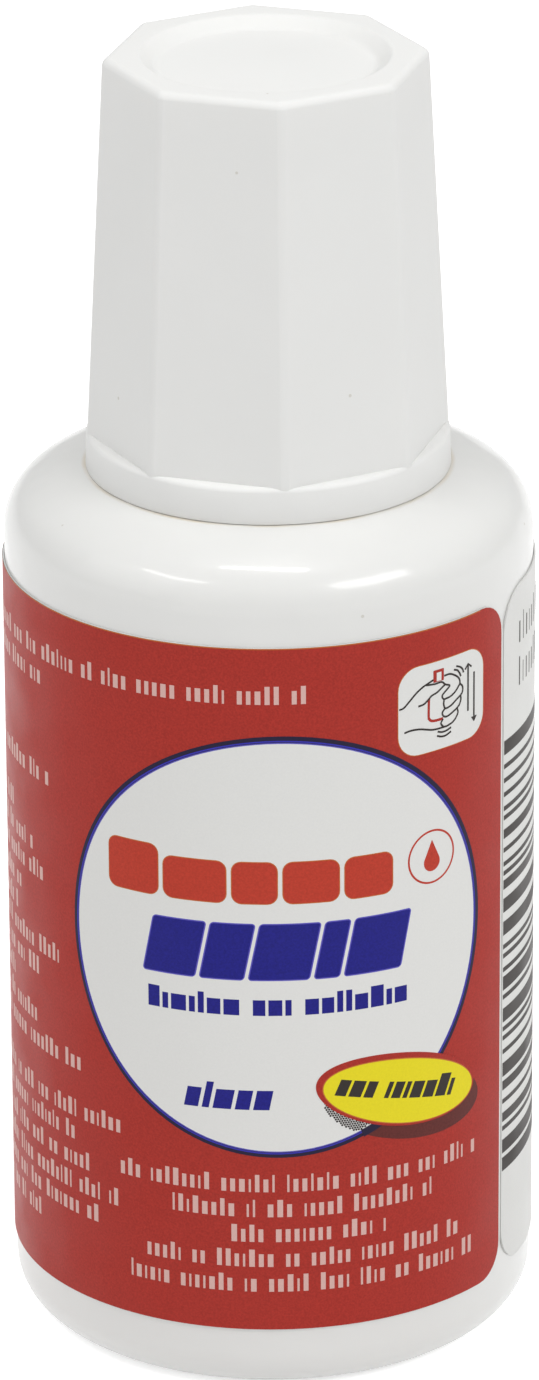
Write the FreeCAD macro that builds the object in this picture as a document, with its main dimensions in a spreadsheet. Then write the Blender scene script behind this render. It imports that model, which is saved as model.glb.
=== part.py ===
import FreeCAD, Part
import Sketcher
import math
import os
import re

# Correction fluid bottle, about 20 ml: a blow-moulded bottle with a wrap label, a steel
# mixing ball, a wiper insert in its threaded neck, and an octagonal cap over a threaded
# core that carries a sealing washer and the brush.
# The bottle's axis is Z, its standing plane is z = 0, and all sizes are in millimetres.
# Azimuths are turned about +Z from the +X direction; the front of the bottle faces -Y.

doc = FreeCAD.newDocument("correction_fluid_bottle")
sheet = doc.addObject("Spreadsheet::Sheet", "Sizes")

SIZES = [
    # Bottle, outside
    ("bottle_radius", 13.88, "outside radius of the blown wall"),
    ("bottle_wall", 0.9, "wall of the body, shoulder and base"),
    ("foot_round", 2.5, "rounding from the wall into the standing ring"),
    ("stand_ring_width", 3.78, "from the wall in to the inner edge of the standing ring"),
    ("push_up_slope_width", 2.5, "from the standing ring in to the flat of the pushed-up base"),
    ("push_up_height", 1.3, "height of the pushed-up base"),
    ("shoulder_height", 47.5, "flat top of the shoulder"),
    ("shoulder_drop", 1.75, "from the flat down to where wall and slope would meet"),
    ("shoulder_slope_width", 3.03, "from the wall in to where slope and flat would meet"),
    ("shoulder_edge_round", 2.8, "rounding from the wall into the slope"),
    ("shoulder_top_round", 6.4, "rounding from the slope into the flat"),
    # Neck and its thread
    ("neck_wall", 1.4, "wall of the neck under the thread"),
    ("neck_height", 9.5, "rim of the neck above the shoulder"),
    ("neck_root_chamfer", 0.4, "chamfer from the shoulder into the neck"),
    ("neck_rim_chamfer", 0.3, "chamfer of the rim"),
    ("thread_lead", 3.0, "rise in one turn"),
    ("thread_turns", 1.5, "turns of the ridge"),
    ("thread_depth", 0.75, "height of the ridge"),
    ("thread_root_half", 0.85, "half width of the ridge at its root"),
    ("thread_crest_half", 0.35, "half width of the ridge at its crest"),
    ("thread_end_gap", 2.1, "from the middle of the ridge's upper end to the neck's rim"),
    ("thread_clearance", 0.25, "radial room between crest and root"),
    ("thread_sink", 0.2, "how far a ridge's sketch reaches into its wall"),
    # Label
    ("label_bottom_height", 3.98, "lower edge of the label"),
    ("label_top_margin", 3.07, "from the label's upper edge to the foot of the shoulder"),
    ("label_thickness", 0.1, "film with its print"),
    ("label_glue", 0.02, "film of adhesive under the label"),
    ("label_seam_gap", 0.5, "angle left open between the label's ends"),
    ("label_start_azimuth", -29.7, "azimuth of the white end"),
    ("label_front_round", 2.0, "corner rounding of the printed end"),
    ("label_tail_round", 2.3, "corner rounding of the white end"),
    # Wiper insert
    ("wiper_flange_inset", 0.2, "from the neck's outside in to the wiper's flange"),
    ("wiper_flange", 0.8, "thickness of the flange"),
    ("wiper_clearance", 0.03, "between the skirt and the neck's bore"),
    ("wiper_length", 7.6, "skirt below the rim"),
    ("wiper_lead_in", 0.6, "tapered end of the skirt"),
    ("wiper_wall", 0.57, "wall of the skirt"),
    ("wiper_lip_width", 0.7, "lip that wipes the brush, in from the skirt"),
    ("brush_clearance", 0.64, "between the lip and the widest part of the brush"),
    ("wiper_lip", 0.7, "height of the lip"),
    ("wiper_cone", 2.2, "height of the cone above the lip"),
    # Sealing washer
    ("seat_gap", 0.05, "between pieces that seat flat on each other"),
    ("washer_side_gap", 0.4, "between the washer and the sleeve"),
    ("washer_thickness", 1.2, "thickness of the sealing washer"),
    ("washer_bore_clearance", 0.15, "between the washer and the stem"),
    # Cap, outside
    ("cap_shoulder_gap", 0.26, "between the shoulder and the cap's ring"),
    ("cap_ring_height", 1.89, "height of the ring"),
    ("cap_ring_step", 0.02, "ring outside the octagon's corners"),
    ("cap_ring_draft", 0.06, "how much the ring narrows to its top"),
    ("cap_ring_top_chamfer", 0.25, "upper edge of the ring"),
    ("cap_ring_bottom_chamfer", 0.15, "lower edge of the ring"),
    ("octagon_room", 2.69, "from the sleeve out to the octagon's corners on the ring"),
    ("octagon_lean", 1.06, "how far the corners lean in from the ring to the top"),
    ("cap_azimuth", 5.1, "turn of the octagon"),
    ("cap_edge_round", 0.7, "rounding of the eight edges"),
    ("cap_rim_round", 0.4, "rounding of the top rim"),
    ("recess_inset", 2.0, "from the octagon's corners in to the rim of the round recess"),
    ("recess_slope_width", 0.73, "from the recess's rim in to its floor"),
    ("recess_depth", 0.64, "depth of the recess at its edge"),
    ("recess_crown", 0.2, "rise of the floor to its middle"),
    ("cap_wall", 1.0, "wall of the octagon"),
    ("cap_plate", 1.2, "top plate under the recess"),
    # Threaded core, pressed into the cap
    ("core_flange", 1.0, "thickness of the flange that closes the cap's lower end"),
    ("core_fit", 0.13, "between the flange and the octagon's inner flats"),
    ("core_plate", 1.0, "plate over the stem's collar"),
    ("core_collar_clearance", 0.15, "between the collar and the plate"),
    ("sleeve_wall", 0.85, "wall of the threaded sleeve"),
    ("sleeve_inset", 0.5, "sleeve's end above the ring's lower edge"),
    ("sleeve_lead_in", 0.4, "chamfer at the sleeve's mouth"),
    ("socket_wall", 1.15, "wall of the stem's socket"),
    ("socket_depth", 6.2, "depth of the stem's socket"),
    ("socket_end_wall", 1.32, "wall over the socket, up to the cap's plate"),
    # Stem and brush
    ("stem_radius", 1.5, "stem"),
    ("stem_head_step", 0.1, "stem inside its socket, over its radius"),
    ("stem_barb", 0.13, "height of the barbs on the head"),
    ("stem_barb_length", 0.9, "length of a barb"),
    ("stem_head_clearance", 0.02, "between barb and socket"),
    ("stem_head_end_gap", 0.3, "between the head and the socket's end"),
    ("stem_collar_step", 0.9, "collar under the socket, over the stem"),
    ("stem_collar_height", 1.45, "height of the collar"),
    ("stem_bead_step", 0.45, "bead that keeps the washer on, over the stem"),
    ("stem_bead_length", 0.7, "length of the bead"),
    ("stem_end_chamfer", 0.2, "chamfer of the lower end"),
    ("tuft_hole_wall", 0.4, "wall round the hole for the bristles"),
    ("tuft_hole_depth", 4.8, "depth of that hole"),
    ("tuft_clearance", 0.04, "between the tuft and its hole"),
    ("tuft_belly_radius", 1.66, "widest part of the tuft"),
    ("tuft_belly_rise", 5.7, "widest part above the tip"),
    ("tuft_tip_radius", 1.0, "tuft above its tip"),
    ("tuft_length", 12.9, "bristles below the stem"),
    ("tuft_floor_gap", 1.7, "between the tip and the base's inside"),
    ("tuft_tip_taper", 0.6, "height over which the tip narrows"),
    ("tuft_end_radius", 0.5, "flat end of the tip"),
    ("anchor_end_gap", 0.05, "between the staple's ends and the tuft's hole"),
    ("anchor_height", 1.2, "staple, along the stem"),
    ("anchor_thickness", 0.3, "staple, thickness"),
    ("anchor_clearance", 0.02, "between the staple and the tuft"),
    # Mixing ball
    ("ball_radius", 2.0, "steel mixing ball"),
    ("ball_seat_gap", 0.03, "between the ball, the floor and the wall"),
    ("ball_azimuth", 215.0, "where the ball rests"),
]

for row, (alias, number, meaning) in enumerate(SIZES, start=1):
    sheet.set(f"A{row}", meaning)
    sheet.set(f"B{row}", str(number))
    sheet.setAlias(f"B{row}", alias)
doc.recompute()

NAMES = {alias for alias, number, meaning in SIZES}


def bound(text):
    """Write the sheet's name in front of each alias, as an expression needs it."""
    return re.sub(r"[a-z_]+", lambda word: f"Sizes.{word.group()}" if word.group() in NAMES else word.group(), text)


def number_of(text):
    """Work out an expression of aliases with the sheet's present values."""
    result = sheet.evalExpression(bound(text))
    return float(getattr(result, "Value", result))


# Lengths that several pieces share, each worked out from the sheet's sizes.
# From the brush outwards: the wiper's lip, the neck, its thread and the cap's sleeve.
WIPER_ORIFICE = "(tuft_belly_radius + brush_clearance)"
WIPER_MOUTH = f"({WIPER_ORIFICE} + wiper_lip_width)"
WIPER_SKIRT = f"({WIPER_MOUTH} + wiper_wall)"
NECK_BORE = f"({WIPER_SKIRT} + wiper_clearance)"
NECK_RADIUS = f"({NECK_BORE} + neck_wall)"
THREAD_CREST = f"({NECK_RADIUS} + thread_depth)"
SLEEVE_BORE = f"({THREAD_CREST} + thread_clearance)"
SLEEVE_OUTSIDE = f"({SLEEVE_BORE} + sleeve_wall)"
CORNER_BASE = f"({SLEEVE_OUTSIDE} + octagon_room)"
CORNER_TOP = f"({CORNER_BASE} - octagon_lean)"
RECESS_RADIUS = f"({CORNER_TOP} - recess_inset)"
# The bottle's foot and shoulder
STAND_INNER = "(bottle_radius - stand_ring_width)"
PUSH_UP_RADIUS = f"({STAND_INNER} - push_up_slope_width)"
INNER_FOOT = "(foot_round - bottle_wall) * (2 - sqrt(2))"
PUSH_UP_SLOPE = "atan(push_up_height / push_up_slope_width)"
PUSH_UP_SHIFT = f"bottle_wall * tan({PUSH_UP_SLOPE} / 2)"
SHOULDER_FOOT = "(shoulder_height - shoulder_drop)"
SHOULDER_FLAT = "(bottle_radius - shoulder_slope_width)"
SHOULDER_SLOPE = "atan(shoulder_slope_width / shoulder_drop)"
SLOPE_LENGTH = "sqrt(shoulder_slope_width ^ 2 + shoulder_drop ^ 2)"
# Each rounding of the shoulder takes less than half of the slope between them
EDGE_ROUND = f"min(shoulder_edge_round; 0.49 * {SLOPE_LENGTH} / tan({SHOULDER_SLOPE} / 2))"
TOP_ROUND = f"min(shoulder_top_round; 0.5 * {SLOPE_LENGTH} / tan(45 deg - {SHOULDER_SLOPE} / 2))"
# Up the neck and through the cap
NECK_TOP = "(shoulder_height + neck_height)"
THREAD_START = f"({NECK_TOP} - thread_end_gap - thread_lead * thread_turns)"
CAP_BOTTOM = "(shoulder_height + cap_shoulder_gap)"
SLEEVE_BOTTOM = f"{CAP_BOTTOM} + sleeve_inset"
WIPER_TOP = f"{NECK_TOP} + wiper_flange"
WASHER_BOTTOM = f"{WIPER_TOP} + seat_gap"
WASHER_TOP = f"{WASHER_BOTTOM} + washer_thickness"
LEDGE = f"{WASHER_TOP} + seat_gap"
COLLAR_TOP = f"{LEDGE} + stem_collar_height"
SOCKET_MOUTH = f"{COLLAR_TOP} + seat_gap"
SOCKET_END = f"{SOCKET_MOUTH} + socket_depth"
CORE_TOP = f"{SOCKET_END} + socket_end_wall"
CAP_CEILING = f"{CORE_TOP} + seat_gap"
CAP_TOP = f"({CAP_CEILING} + cap_plate + recess_depth)"
RING_TOP = f"({CAP_BOTTOM} + cap_ring_height)"
CAP_TAPER = f"atan(octagon_lean * cos(22.5) / ({CAP_TOP} - {RING_TOP}))"
# The stem and its brush
STEM_HEAD = "(stem_radius + stem_head_step)"
STEM_COLLAR = "(stem_radius + stem_collar_step)"
STEM_BEAD = "(stem_radius + stem_bead_step)"
SOCKET_BORE = f"({STEM_HEAD} + stem_barb + stem_head_clearance)"
SOCKET_OUTSIDE = f"({SOCKET_BORE} + socket_wall)"
TUFT_HOLE = "(stem_radius - tuft_hole_wall)"
TUFT_TIP = "(push_up_height + bottle_wall + tuft_floor_gap)"
STEM_BOTTOM = f"({TUFT_TIP} + tuft_length)"


def origin_part(body, role):
    """One plane or axis of the body's own origin."""
    return next(item for item in body.Origin.OriginFeatures if item.Role == role)


def new_body(name):
    body = doc.addObject("PartDesign::Body", name)
    body.Label = name
    return body


def place_point(sketch, geometry, point, corner):
    """Hold one point of a sketch at a corner's x and y expressions."""
    for kind, axis, text in (("DistanceX", -2, corner[0]), ("DistanceY", -1, corner[1])):
        if text == "0":
            sketch.addConstraint(Sketcher.Constraint("PointOnObject", geometry, point, axis))
        else:
            index = sketch.addConstraint(
                Sketcher.Constraint(kind, -1, 1, geometry, point, number_of(text)))
            sketch.setExpression(f"Constraints[{index}]", bound(text))


def outline(body, name, role, corners, height=None):
    """A closed sketch through corners (x, y) or (x, y, rounding), all expressions.

    The corners run anticlockwise. The sketch lies on one of the body's own origin planes,
    raised by height where that is given.
    """
    sketch = body.newObject("Sketcher::SketchObject", name)
    sketch.AttachmentSupport = [(origin_part(body, role), "")]
    sketch.MapMode = "FlatFace"
    if height:
        sketch.setExpression("AttachmentOffset.Base.z", bound(height))
    count = len(corners)
    spots = [FreeCAD.Vector(number_of(corner[0]), number_of(corner[1]), 0) for corner in corners]
    rounds = [number_of(corner[2]) if len(corner) > 2 else 0 for corner in corners]
    arrivals, departures = [], []
    for i in range(count):
        back = (spots[i - 1] - spots[i]).normalize()
        ahead = (spots[(i + 1) % count] - spots[i]).normalize()
        trim = rounds[i] / math.tan(back.getAngle(ahead) / 2)
        arrivals.append(spots[i] + back * trim)
        departures.append(spots[i] + ahead * trim)
    for i in range(count):
        sketch.addGeometry(Part.LineSegment(departures[i], arrivals[(i + 1) % count]), False)
    for i in range(count):
        before = (i - 1) % count
        if rounds[i]:
            round_corner(sketch, before, i, spots[i], arrivals[i], departures[i], corners[i])
        else:
            sketch.addConstraint(Sketcher.Constraint("Coincident", before, 2, i, 1))
            place_point(sketch, i, 1, corners[i])
    return sketch


def round_corner(sketch, before, after, spot, arrival, departure, corner):
    """Join two lines by an arc whose lines would meet at the corner."""
    radius = number_of(corner[2])
    back = (arrival - spot).normalize()
    ahead = (departure - spot).normalize()
    middle = (back + ahead).normalize()
    center = spot + middle * (radius / math.sin(back.getAngle(ahead) / 2))
    left_turn = ahead.cross(back).z > 0
    first, last = (arrival, departure) if left_turn else (departure, arrival)
    start_angle = math.atan2(first.y - center.y, first.x - center.x)
    end_angle = math.atan2(last.y - center.y, last.x - center.x)
    circle = Part.Circle(center, FreeCAD.Vector(0, 0, 1), radius)
    arc = sketch.addGeometry(Part.ArcOfCircle(circle, start_angle, end_angle), False)
    meeting = sketch.addGeometry(Part.Point(spot), True)
    arc_in, arc_out = (1, 2) if left_turn else (2, 1)
    sketch.addConstraint(Sketcher.Constraint("Tangent", before, 2, arc, arc_in))
    sketch.addConstraint(Sketcher.Constraint("Tangent", arc, arc_out, after, 1))
    sketch.addConstraint(Sketcher.Constraint("PointOnObject", meeting, 1, before))
    sketch.addConstraint(Sketcher.Constraint("PointOnObject", meeting, 1, after))
    place_point(sketch, meeting, 1, corner)
    index = sketch.addConstraint(Sketcher.Constraint("Radius", arc, radius))
    sketch.setExpression(f"Constraints[{index}]", bound(corner[2]))


def finish_feature(body, feature, adds):
    """Recompute and make sure that the feature really added or removed material."""
    before = body.Shape.Volume if not body.Shape.isNull() else 0.0
    doc.recompute()
    change = body.Shape.Volume - before
    if change == 0 or (change > 0) != adds:
        raise RuntimeError(f"{feature.Name} changed the volume by {change:.4f}")
    return feature


def turned(body, name, corners, adds=True, angle=None):
    """Turn an outline in the XZ plane about the body's axis."""
    sketch = outline(body, name + "_sketch", "XZ_Plane", corners)
    doc.recompute()
    feature = body.newObject("PartDesign::Revolution" if adds else "PartDesign::Groove", name)
    feature.Profile = sketch
    feature.ReferenceAxis = (origin_part(body, "Z_Axis"), [""])
    feature.Angle = 360
    if angle:
        feature.setExpression("Angle", bound(angle))
    return finish_feature(body, feature, adds)


def extruded(body, name, sketch, length, adds=True, both_ways=False):
    """Pad or pocket a sketch along its normal, or half each way."""
    doc.recompute()
    feature = body.newObject("PartDesign::Pad" if adds else "PartDesign::Pocket", name)
    feature.Profile = sketch
    feature.setExpression("Length", bound(length))
    feature.Reversed = not adds and not both_ways
    feature.Midplane = both_ways
    return finish_feature(body, feature, adds)


def drafted(body, name, height, angle, inside=False):
    """Lean the last feature's upright sides towards the axis, from their foot at a height.

    The sides of a hollow face the axis, and are found by that.
    """
    base = body.Tip
    before = body.Shape.Volume
    sides = []
    foot = []
    for i, face in enumerate(base.Shape.Faces, start=1):
        if not isinstance(face.Surface, Part.Plane):
            continue
        normal = face.normalAt(0, 0)
        middle = face.CenterOfMass
        faces_axis = normal.x * middle.x + normal.y * middle.y < 0
        if abs(normal.z) < 1e-6 and faces_axis == inside:
            sides.append(f"Face{i}")
        elif abs(normal.z) > 1 - 1e-6 and abs(middle.z - number_of(height)) < 1e-6:
            foot.append(f"Face{i}")
    feature = body.newObject("PartDesign::Draft", name)
    feature.Base = (base, sides)
    feature.NeutralPlane = (base, foot[:1])
    feature.Reversed = inside
    feature.setExpression("Angle", bound(angle))
    doc.recompute()
    if (body.Shape.Volume > before) != inside:
        raise RuntimeError(f"{name} leaned the wrong way")
    return feature


def repeated(body, name, feature, count):
    """Repeat a feature evenly round the body's axis."""
    pattern = body.newObject("PartDesign::PolarPattern", name)
    pattern.Originals = [feature]
    pattern.Axis = (origin_part(body, "Z_Axis"), [""])
    pattern.Angle = 360
    pattern.setExpression("Occurrences", bound(count))
    body.Tip = pattern
    return finish_feature(body, pattern, True)


def threaded(body, name, root, crest, height):
    """A helical ridge from its root radius to its crest radius, in the sheet's thread form."""
    low, high = (root, crest) if number_of(root) < number_of(crest) else (crest, root)
    low_half, high_half = ("thread_root_half", "thread_crest_half")
    if low == crest:
        low_half, high_half = high_half, low_half
    corners = [
        (low, f"{height} - {low_half}"),
        (high, f"{height} - {high_half}"),
        (high, f"{height} + {high_half}"),
        (low, f"{height} + {low_half}"),
    ]
    sketch = outline(body, name + "_sketch", "XZ_Plane", corners)
    doc.recompute()
    feature = body.newObject("PartDesign::AdditiveHelix", name)
    feature.Profile = sketch
    feature.ReferenceAxis = (origin_part(body, "Z_Axis"), [""])
    feature.Mode = "pitch-turns-angle"
    feature.setExpression("Pitch", bound("thread_lead"))
    feature.setExpression("Turns", bound("thread_turns"))
    return finish_feature(body, feature, True)


def rounded(body, name, edges, radius):
    """Round edges of the body's last feature."""
    base = body.Tip
    before = body.Shape.Volume
    feature = body.newObject("PartDesign::Fillet", name)
    feature.Base = (base, edges)
    feature.setExpression("Radius", bound(radius))
    doc.recompute()
    if not edges or body.Shape.Volume == before:
        raise RuntimeError(f"{name} rounded nothing")
    return feature


def edges_where(body, test):
    """Names of the edges of the body's last feature that pass a test."""
    shape = body.Tip.Shape
    return [f"Edge{i}" for i, edge in enumerate(shape.Edges, start=1) if test(edge)]


def turn_body(body, azimuth):
    """Turn a finished body about the bottle's axis."""
    body.Placement = FreeCAD.Placement(
        FreeCAD.Vector(), FreeCAD.Rotation(FreeCAD.Vector(0, 0, 1), number_of(azimuth)))
    body.setExpression("Placement.Rotation.Angle", bound(azimuth))


def build_bottle():
    """Blown bottle: base with a standing ring, wall, shoulder and neck, then its hollow."""
    body = new_body("bottle")
    turned(body, "bottle_form", [
        ("0", "push_up_height"),
        (PUSH_UP_RADIUS, "push_up_height"),
        (STAND_INNER, "0"),
        ("bottle_radius", "0", "foot_round"),
        ("bottle_radius", SHOULDER_FOOT, EDGE_ROUND),
        (SHOULDER_FLAT, "shoulder_height", TOP_ROUND),
        (f"{NECK_RADIUS} + neck_root_chamfer", "shoulder_height"),
        (NECK_RADIUS, "shoulder_height + neck_root_chamfer"),
        (NECK_RADIUS, f"{NECK_TOP} - neck_rim_chamfer"),
        (f"{NECK_RADIUS} - neck_rim_chamfer", NECK_TOP),
        ("0", NECK_TOP),
    ])
    turned(body, "bottle_hollow", [
        ("0", "push_up_height + bottle_wall"),
        (f"{PUSH_UP_RADIUS} + {PUSH_UP_SHIFT}", "push_up_height + bottle_wall"),
        (f"{STAND_INNER} + {PUSH_UP_SHIFT}", "bottle_wall"),
        (f"bottle_radius - bottle_wall - {INNER_FOOT}", "bottle_wall"),
        ("bottle_radius - bottle_wall", f"bottle_wall + {INNER_FOOT}"),
        ("bottle_radius - bottle_wall",
         f"{SHOULDER_FOOT} - bottle_wall * tan({SHOULDER_SLOPE} / 2)"),
        (f"{SHOULDER_FLAT} - bottle_wall * tan(45 deg - {SHOULDER_SLOPE} / 2)",
         "shoulder_height - bottle_wall"),
        (NECK_BORE, "shoulder_height - bottle_wall"),
        (NECK_BORE, NECK_TOP),
        ("0", NECK_TOP),
    ], adds=False)
    threaded(body, "neck_thread", f"{NECK_RADIUS} - thread_sink", THREAD_CREST, THREAD_START)
    return body


def build_label():
    """Wrap label: one thin turn round the wall, open at the seam, with rounded corners."""
    body = new_body("label")
    inside = "bottle_radius + label_glue"
    outside = f"{inside} + label_thickness"
    top = f"{SHOULDER_FOOT} - label_top_margin"
    turned(body, "label_wrap", [
        (inside, "label_bottom_height"),
        (outside, "label_bottom_height"),
        (outside, top),
        (inside, top),
    ], angle="360 - label_seam_gap")
    seam = f"({inside}) * sin(label_seam_gap)"
    for end, side, inward, rounding in (
            ("tail", "0", 1, "label_tail_round"), ("front", f"-{seam}", -1, "label_front_round")):
        for level, height, upward in (("lower", "label_bottom_height", 1), ("upper", top, -1)):
            far_side = f"{side} + {inward} * ({rounding} + label_thickness)"
            gap_side = f"{side} - {inward} * {seam} / 2"
            far_level = f"{height} + {upward} * ({rounding} + label_thickness)"
            open_level = f"{height} - {upward} * label_thickness"
            notch = outline(body, f"{end}_{level}_sketch", "YZ_Plane", [
                (side, height, rounding),
                (side, far_level),
                (gap_side, far_level),
                (gap_side, open_level),
                (far_side, open_level),
                (far_side, height),
            ])
            extruded(body, f"{end}_{level}_corner", notch, "bottle_radius * 2", adds=False)
    turn_body(body, "label_start_azimuth")
    return body


def build_neck_wiper():
    """Soft insert in the neck: a flange, a skirt and the lip that wipes the brush."""
    body = new_body("neck_wiper")
    flange = f"{NECK_RADIUS} - wiper_flange_inset"
    bottom = f"{NECK_TOP} - wiper_length"
    turned(body, "wiper_form", [
        (WIPER_ORIFICE, bottom),
        (f"{WIPER_SKIRT} - wiper_lead_in / 2", bottom),
        (WIPER_SKIRT, f"{bottom} + wiper_lead_in"),
        (WIPER_SKIRT, NECK_TOP),
        (flange, NECK_TOP),
        (flange, WIPER_TOP),
        (WIPER_MOUTH, WIPER_TOP),
        (WIPER_MOUTH, f"{bottom} + wiper_lip + wiper_cone"),
        (WIPER_ORIFICE, f"{bottom} + wiper_lip"),
    ])
    return body


def build_cap_washer():
    """Sealing washer round the stem, between the wiper's flange and the cap's ledge."""
    body = new_body("cap_washer")
    bore = "stem_radius + washer_bore_clearance"
    outside = f"{SLEEVE_BORE} - washer_side_gap"
    turned(body, "washer_form", [
        (bore, WASHER_BOTTOM),
        (outside, WASHER_BOTTOM),
        (outside, WASHER_TOP),
        (bore, WASHER_TOP),
    ])
    return body


def octagon(corner_radius):
    """Corners of an eight-sided outline with one corner on the X axis."""
    corners = []
    for step in range(8):
        across = "0" if step in (2, 6) else f"({corner_radius}) * cos({45 * step})"
        along = "0" if step in (0, 4) else f"({corner_radius}) * sin({45 * step})"
        corners.append((across, along))
    return corners


def build_cap():
    """Outer cap: a hollow octagon on a ring, with a round recess in its top."""
    body = new_body("cap")
    octagon_base = f"{RING_TOP} - cap_ring_top_chamfer"
    octagon_height = f"{CAP_TOP} - {RING_TOP} + cap_ring_top_chamfer"
    ring_radius = f"{CORNER_BASE} + cap_ring_step"
    sketch = outline(body, "octagon_sketch", "XY_Plane", octagon(CORNER_BASE), octagon_base)
    extruded(body, "octagon", sketch, octagon_height)
    drafted(body, "octagon_draft", octagon_base, CAP_TAPER)
    half_height = number_of(octagon_height) / 2
    rounded(body, "octagon_edges", edges_where(
        body, lambda edge: edge.BoundBox.ZLength > half_height), "cap_edge_round")
    top = number_of(CAP_TOP)
    rounded(body, "octagon_rim", edges_where(
        body, lambda edge: edge.BoundBox.ZMin > top - 0.001), "cap_rim_round")
    turned(body, "cap_ring", [
        ("0", CAP_BOTTOM),
        (f"{ring_radius} - cap_ring_bottom_chamfer", CAP_BOTTOM),
        (ring_radius, f"{CAP_BOTTOM} + cap_ring_bottom_chamfer"),
        (f"{ring_radius} - cap_ring_draft", f"{RING_TOP} - cap_ring_top_chamfer"),
        (f"{ring_radius} - cap_ring_draft - cap_ring_top_chamfer", RING_TOP),
        ("0", RING_TOP),
    ])
    turned(body, "top_recess", [
        ("0", f"{CAP_TOP} - recess_depth + recess_crown"),
        (f"{RECESS_RADIUS} - recess_slope_width", f"{CAP_TOP} - recess_depth"),
        (RECESS_RADIUS, CAP_TOP),
        ("0", CAP_TOP),
    ], adds=False)
    hollow = outline(body, "hollow_sketch", "XY_Plane",
                     octagon(f"{CORNER_BASE} - cap_wall / cos(22.5)"), CAP_BOTTOM)
    extruded(body, "cap_hollow", hollow, f"{CAP_CEILING} - {CAP_BOTTOM}", adds=False)
    drafted(body, "cap_hollow_draft", CAP_BOTTOM, CAP_TAPER, inside=True)
    turn_body(body, "cap_azimuth")
    return body


def build_cap_core():
    """Threaded core in the cap: flange, sleeve, plate over the washer, and the stem's socket."""
    body = new_body("cap_core")
    flange_radius = f"{CORNER_BASE} * cos(22.5) - cap_wall - core_fit"
    plate_top = f"{SOCKET_MOUTH} + core_plate"
    collar_bore = f"{STEM_COLLAR} + core_collar_clearance"
    turned(body, "core_form", [
        (f"{SLEEVE_BORE} + sleeve_lead_in", SLEEVE_BOTTOM),
        (flange_radius, SLEEVE_BOTTOM),
        (flange_radius, f"{SLEEVE_BOTTOM} + core_flange"),
        (SLEEVE_OUTSIDE, f"{SLEEVE_BOTTOM} + core_flange"),
        (SLEEVE_OUTSIDE, plate_top),
        (SOCKET_OUTSIDE, plate_top),
        (SOCKET_OUTSIDE, CORE_TOP),
        ("0", CORE_TOP),
        ("0", SOCKET_END),
        (SOCKET_BORE, SOCKET_END),
        (SOCKET_BORE, SOCKET_MOUTH),
        (collar_bore, SOCKET_MOUTH),
        (collar_bore, LEDGE),
        (SLEEVE_BORE, LEDGE),
        (SLEEVE_BORE, f"{SLEEVE_BOTTOM} + sleeve_lead_in"),
    ])
    threaded(body, "cap_thread", f"{SLEEVE_BORE} + thread_sink", f"{NECK_RADIUS} + thread_clearance",
             f"{THREAD_START} + thread_lead / 2 + thread_lead * cap_azimuth / 360")
    turn_body(body, "cap_azimuth")
    return body


def build_stem():
    """Brush stem: barbed head for the socket, collar, bead under the washer, bristle hole."""
    body = new_body("stem")
    bead_top = f"{WASHER_BOTTOM} - seat_gap"
    bead_bottom = f"{bead_top} - stem_bead_length"
    head_top = f"{SOCKET_END} - stem_head_end_gap"
    hole_top = f"{STEM_BOTTOM} + tuft_hole_depth"
    corners = [
        (TUFT_HOLE, STEM_BOTTOM),
        ("stem_radius - stem_end_chamfer", STEM_BOTTOM),
        ("stem_radius", f"{STEM_BOTTOM} + stem_end_chamfer"),
        ("stem_radius", bead_bottom),
        (STEM_BEAD, f"{bead_bottom} + stem_bead_length / 4"),
        (STEM_BEAD, f"{bead_top} - stem_bead_length / 4"),
        ("stem_radius", bead_top),
        ("stem_radius", LEDGE),
        (STEM_COLLAR, LEDGE),
        (STEM_COLLAR, COLLAR_TOP),
        (STEM_HEAD, COLLAR_TOP),
    ]
    for barb in (1, 3):
        foot = f"{COLLAR_TOP} + {barb} * stem_barb_length"
        corners += [
            (STEM_HEAD, foot),
            (f"{STEM_HEAD} + stem_barb", foot),
            (STEM_HEAD, f"{foot} + stem_barb_length"),
        ]
    corners += [
        (STEM_HEAD, f"{head_top} - stem_barb_length / 2"),
        (f"{STEM_HEAD} - stem_barb_length / 2", head_top),
        ("0", head_top),
        ("0", hole_top),
        (TUFT_HOLE, hole_top),
    ]
    turned(body, "stem_form", corners)
    return body


def build_bristles():
    """Bristle tuft as one solid: root in the stem, belly, tip, and the staple's slot."""
    body = new_body("bristles")
    root = f"{TUFT_HOLE} - tuft_clearance"
    root_top = f"{STEM_BOTTOM} + tuft_hole_depth - tuft_clearance"
    turned(body, "tuft_form", [
        ("0", TUFT_TIP),
        ("tuft_end_radius", TUFT_TIP),
        ("tuft_tip_radius", f"{TUFT_TIP} + tuft_tip_taper"),
        ("tuft_belly_radius", f"{TUFT_TIP} + tuft_belly_rise"),
        (root, STEM_BOTTOM),
        (root, root_top),
        ("0", root_top),
    ])
    slot = outline(body, "slot_sketch", "XZ_Plane", [
        (f"-{TUFT_HOLE}", f"{root_top} - anchor_height"),
        (TUFT_HOLE, f"{root_top} - anchor_height"),
        (TUFT_HOLE, root_top),
        (f"-{TUFT_HOLE}", root_top),
    ])
    extruded(body, "anchor_slot", slot, "anchor_thickness + 2 * anchor_clearance", adds=False,
             both_ways=True)
    return body


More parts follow.
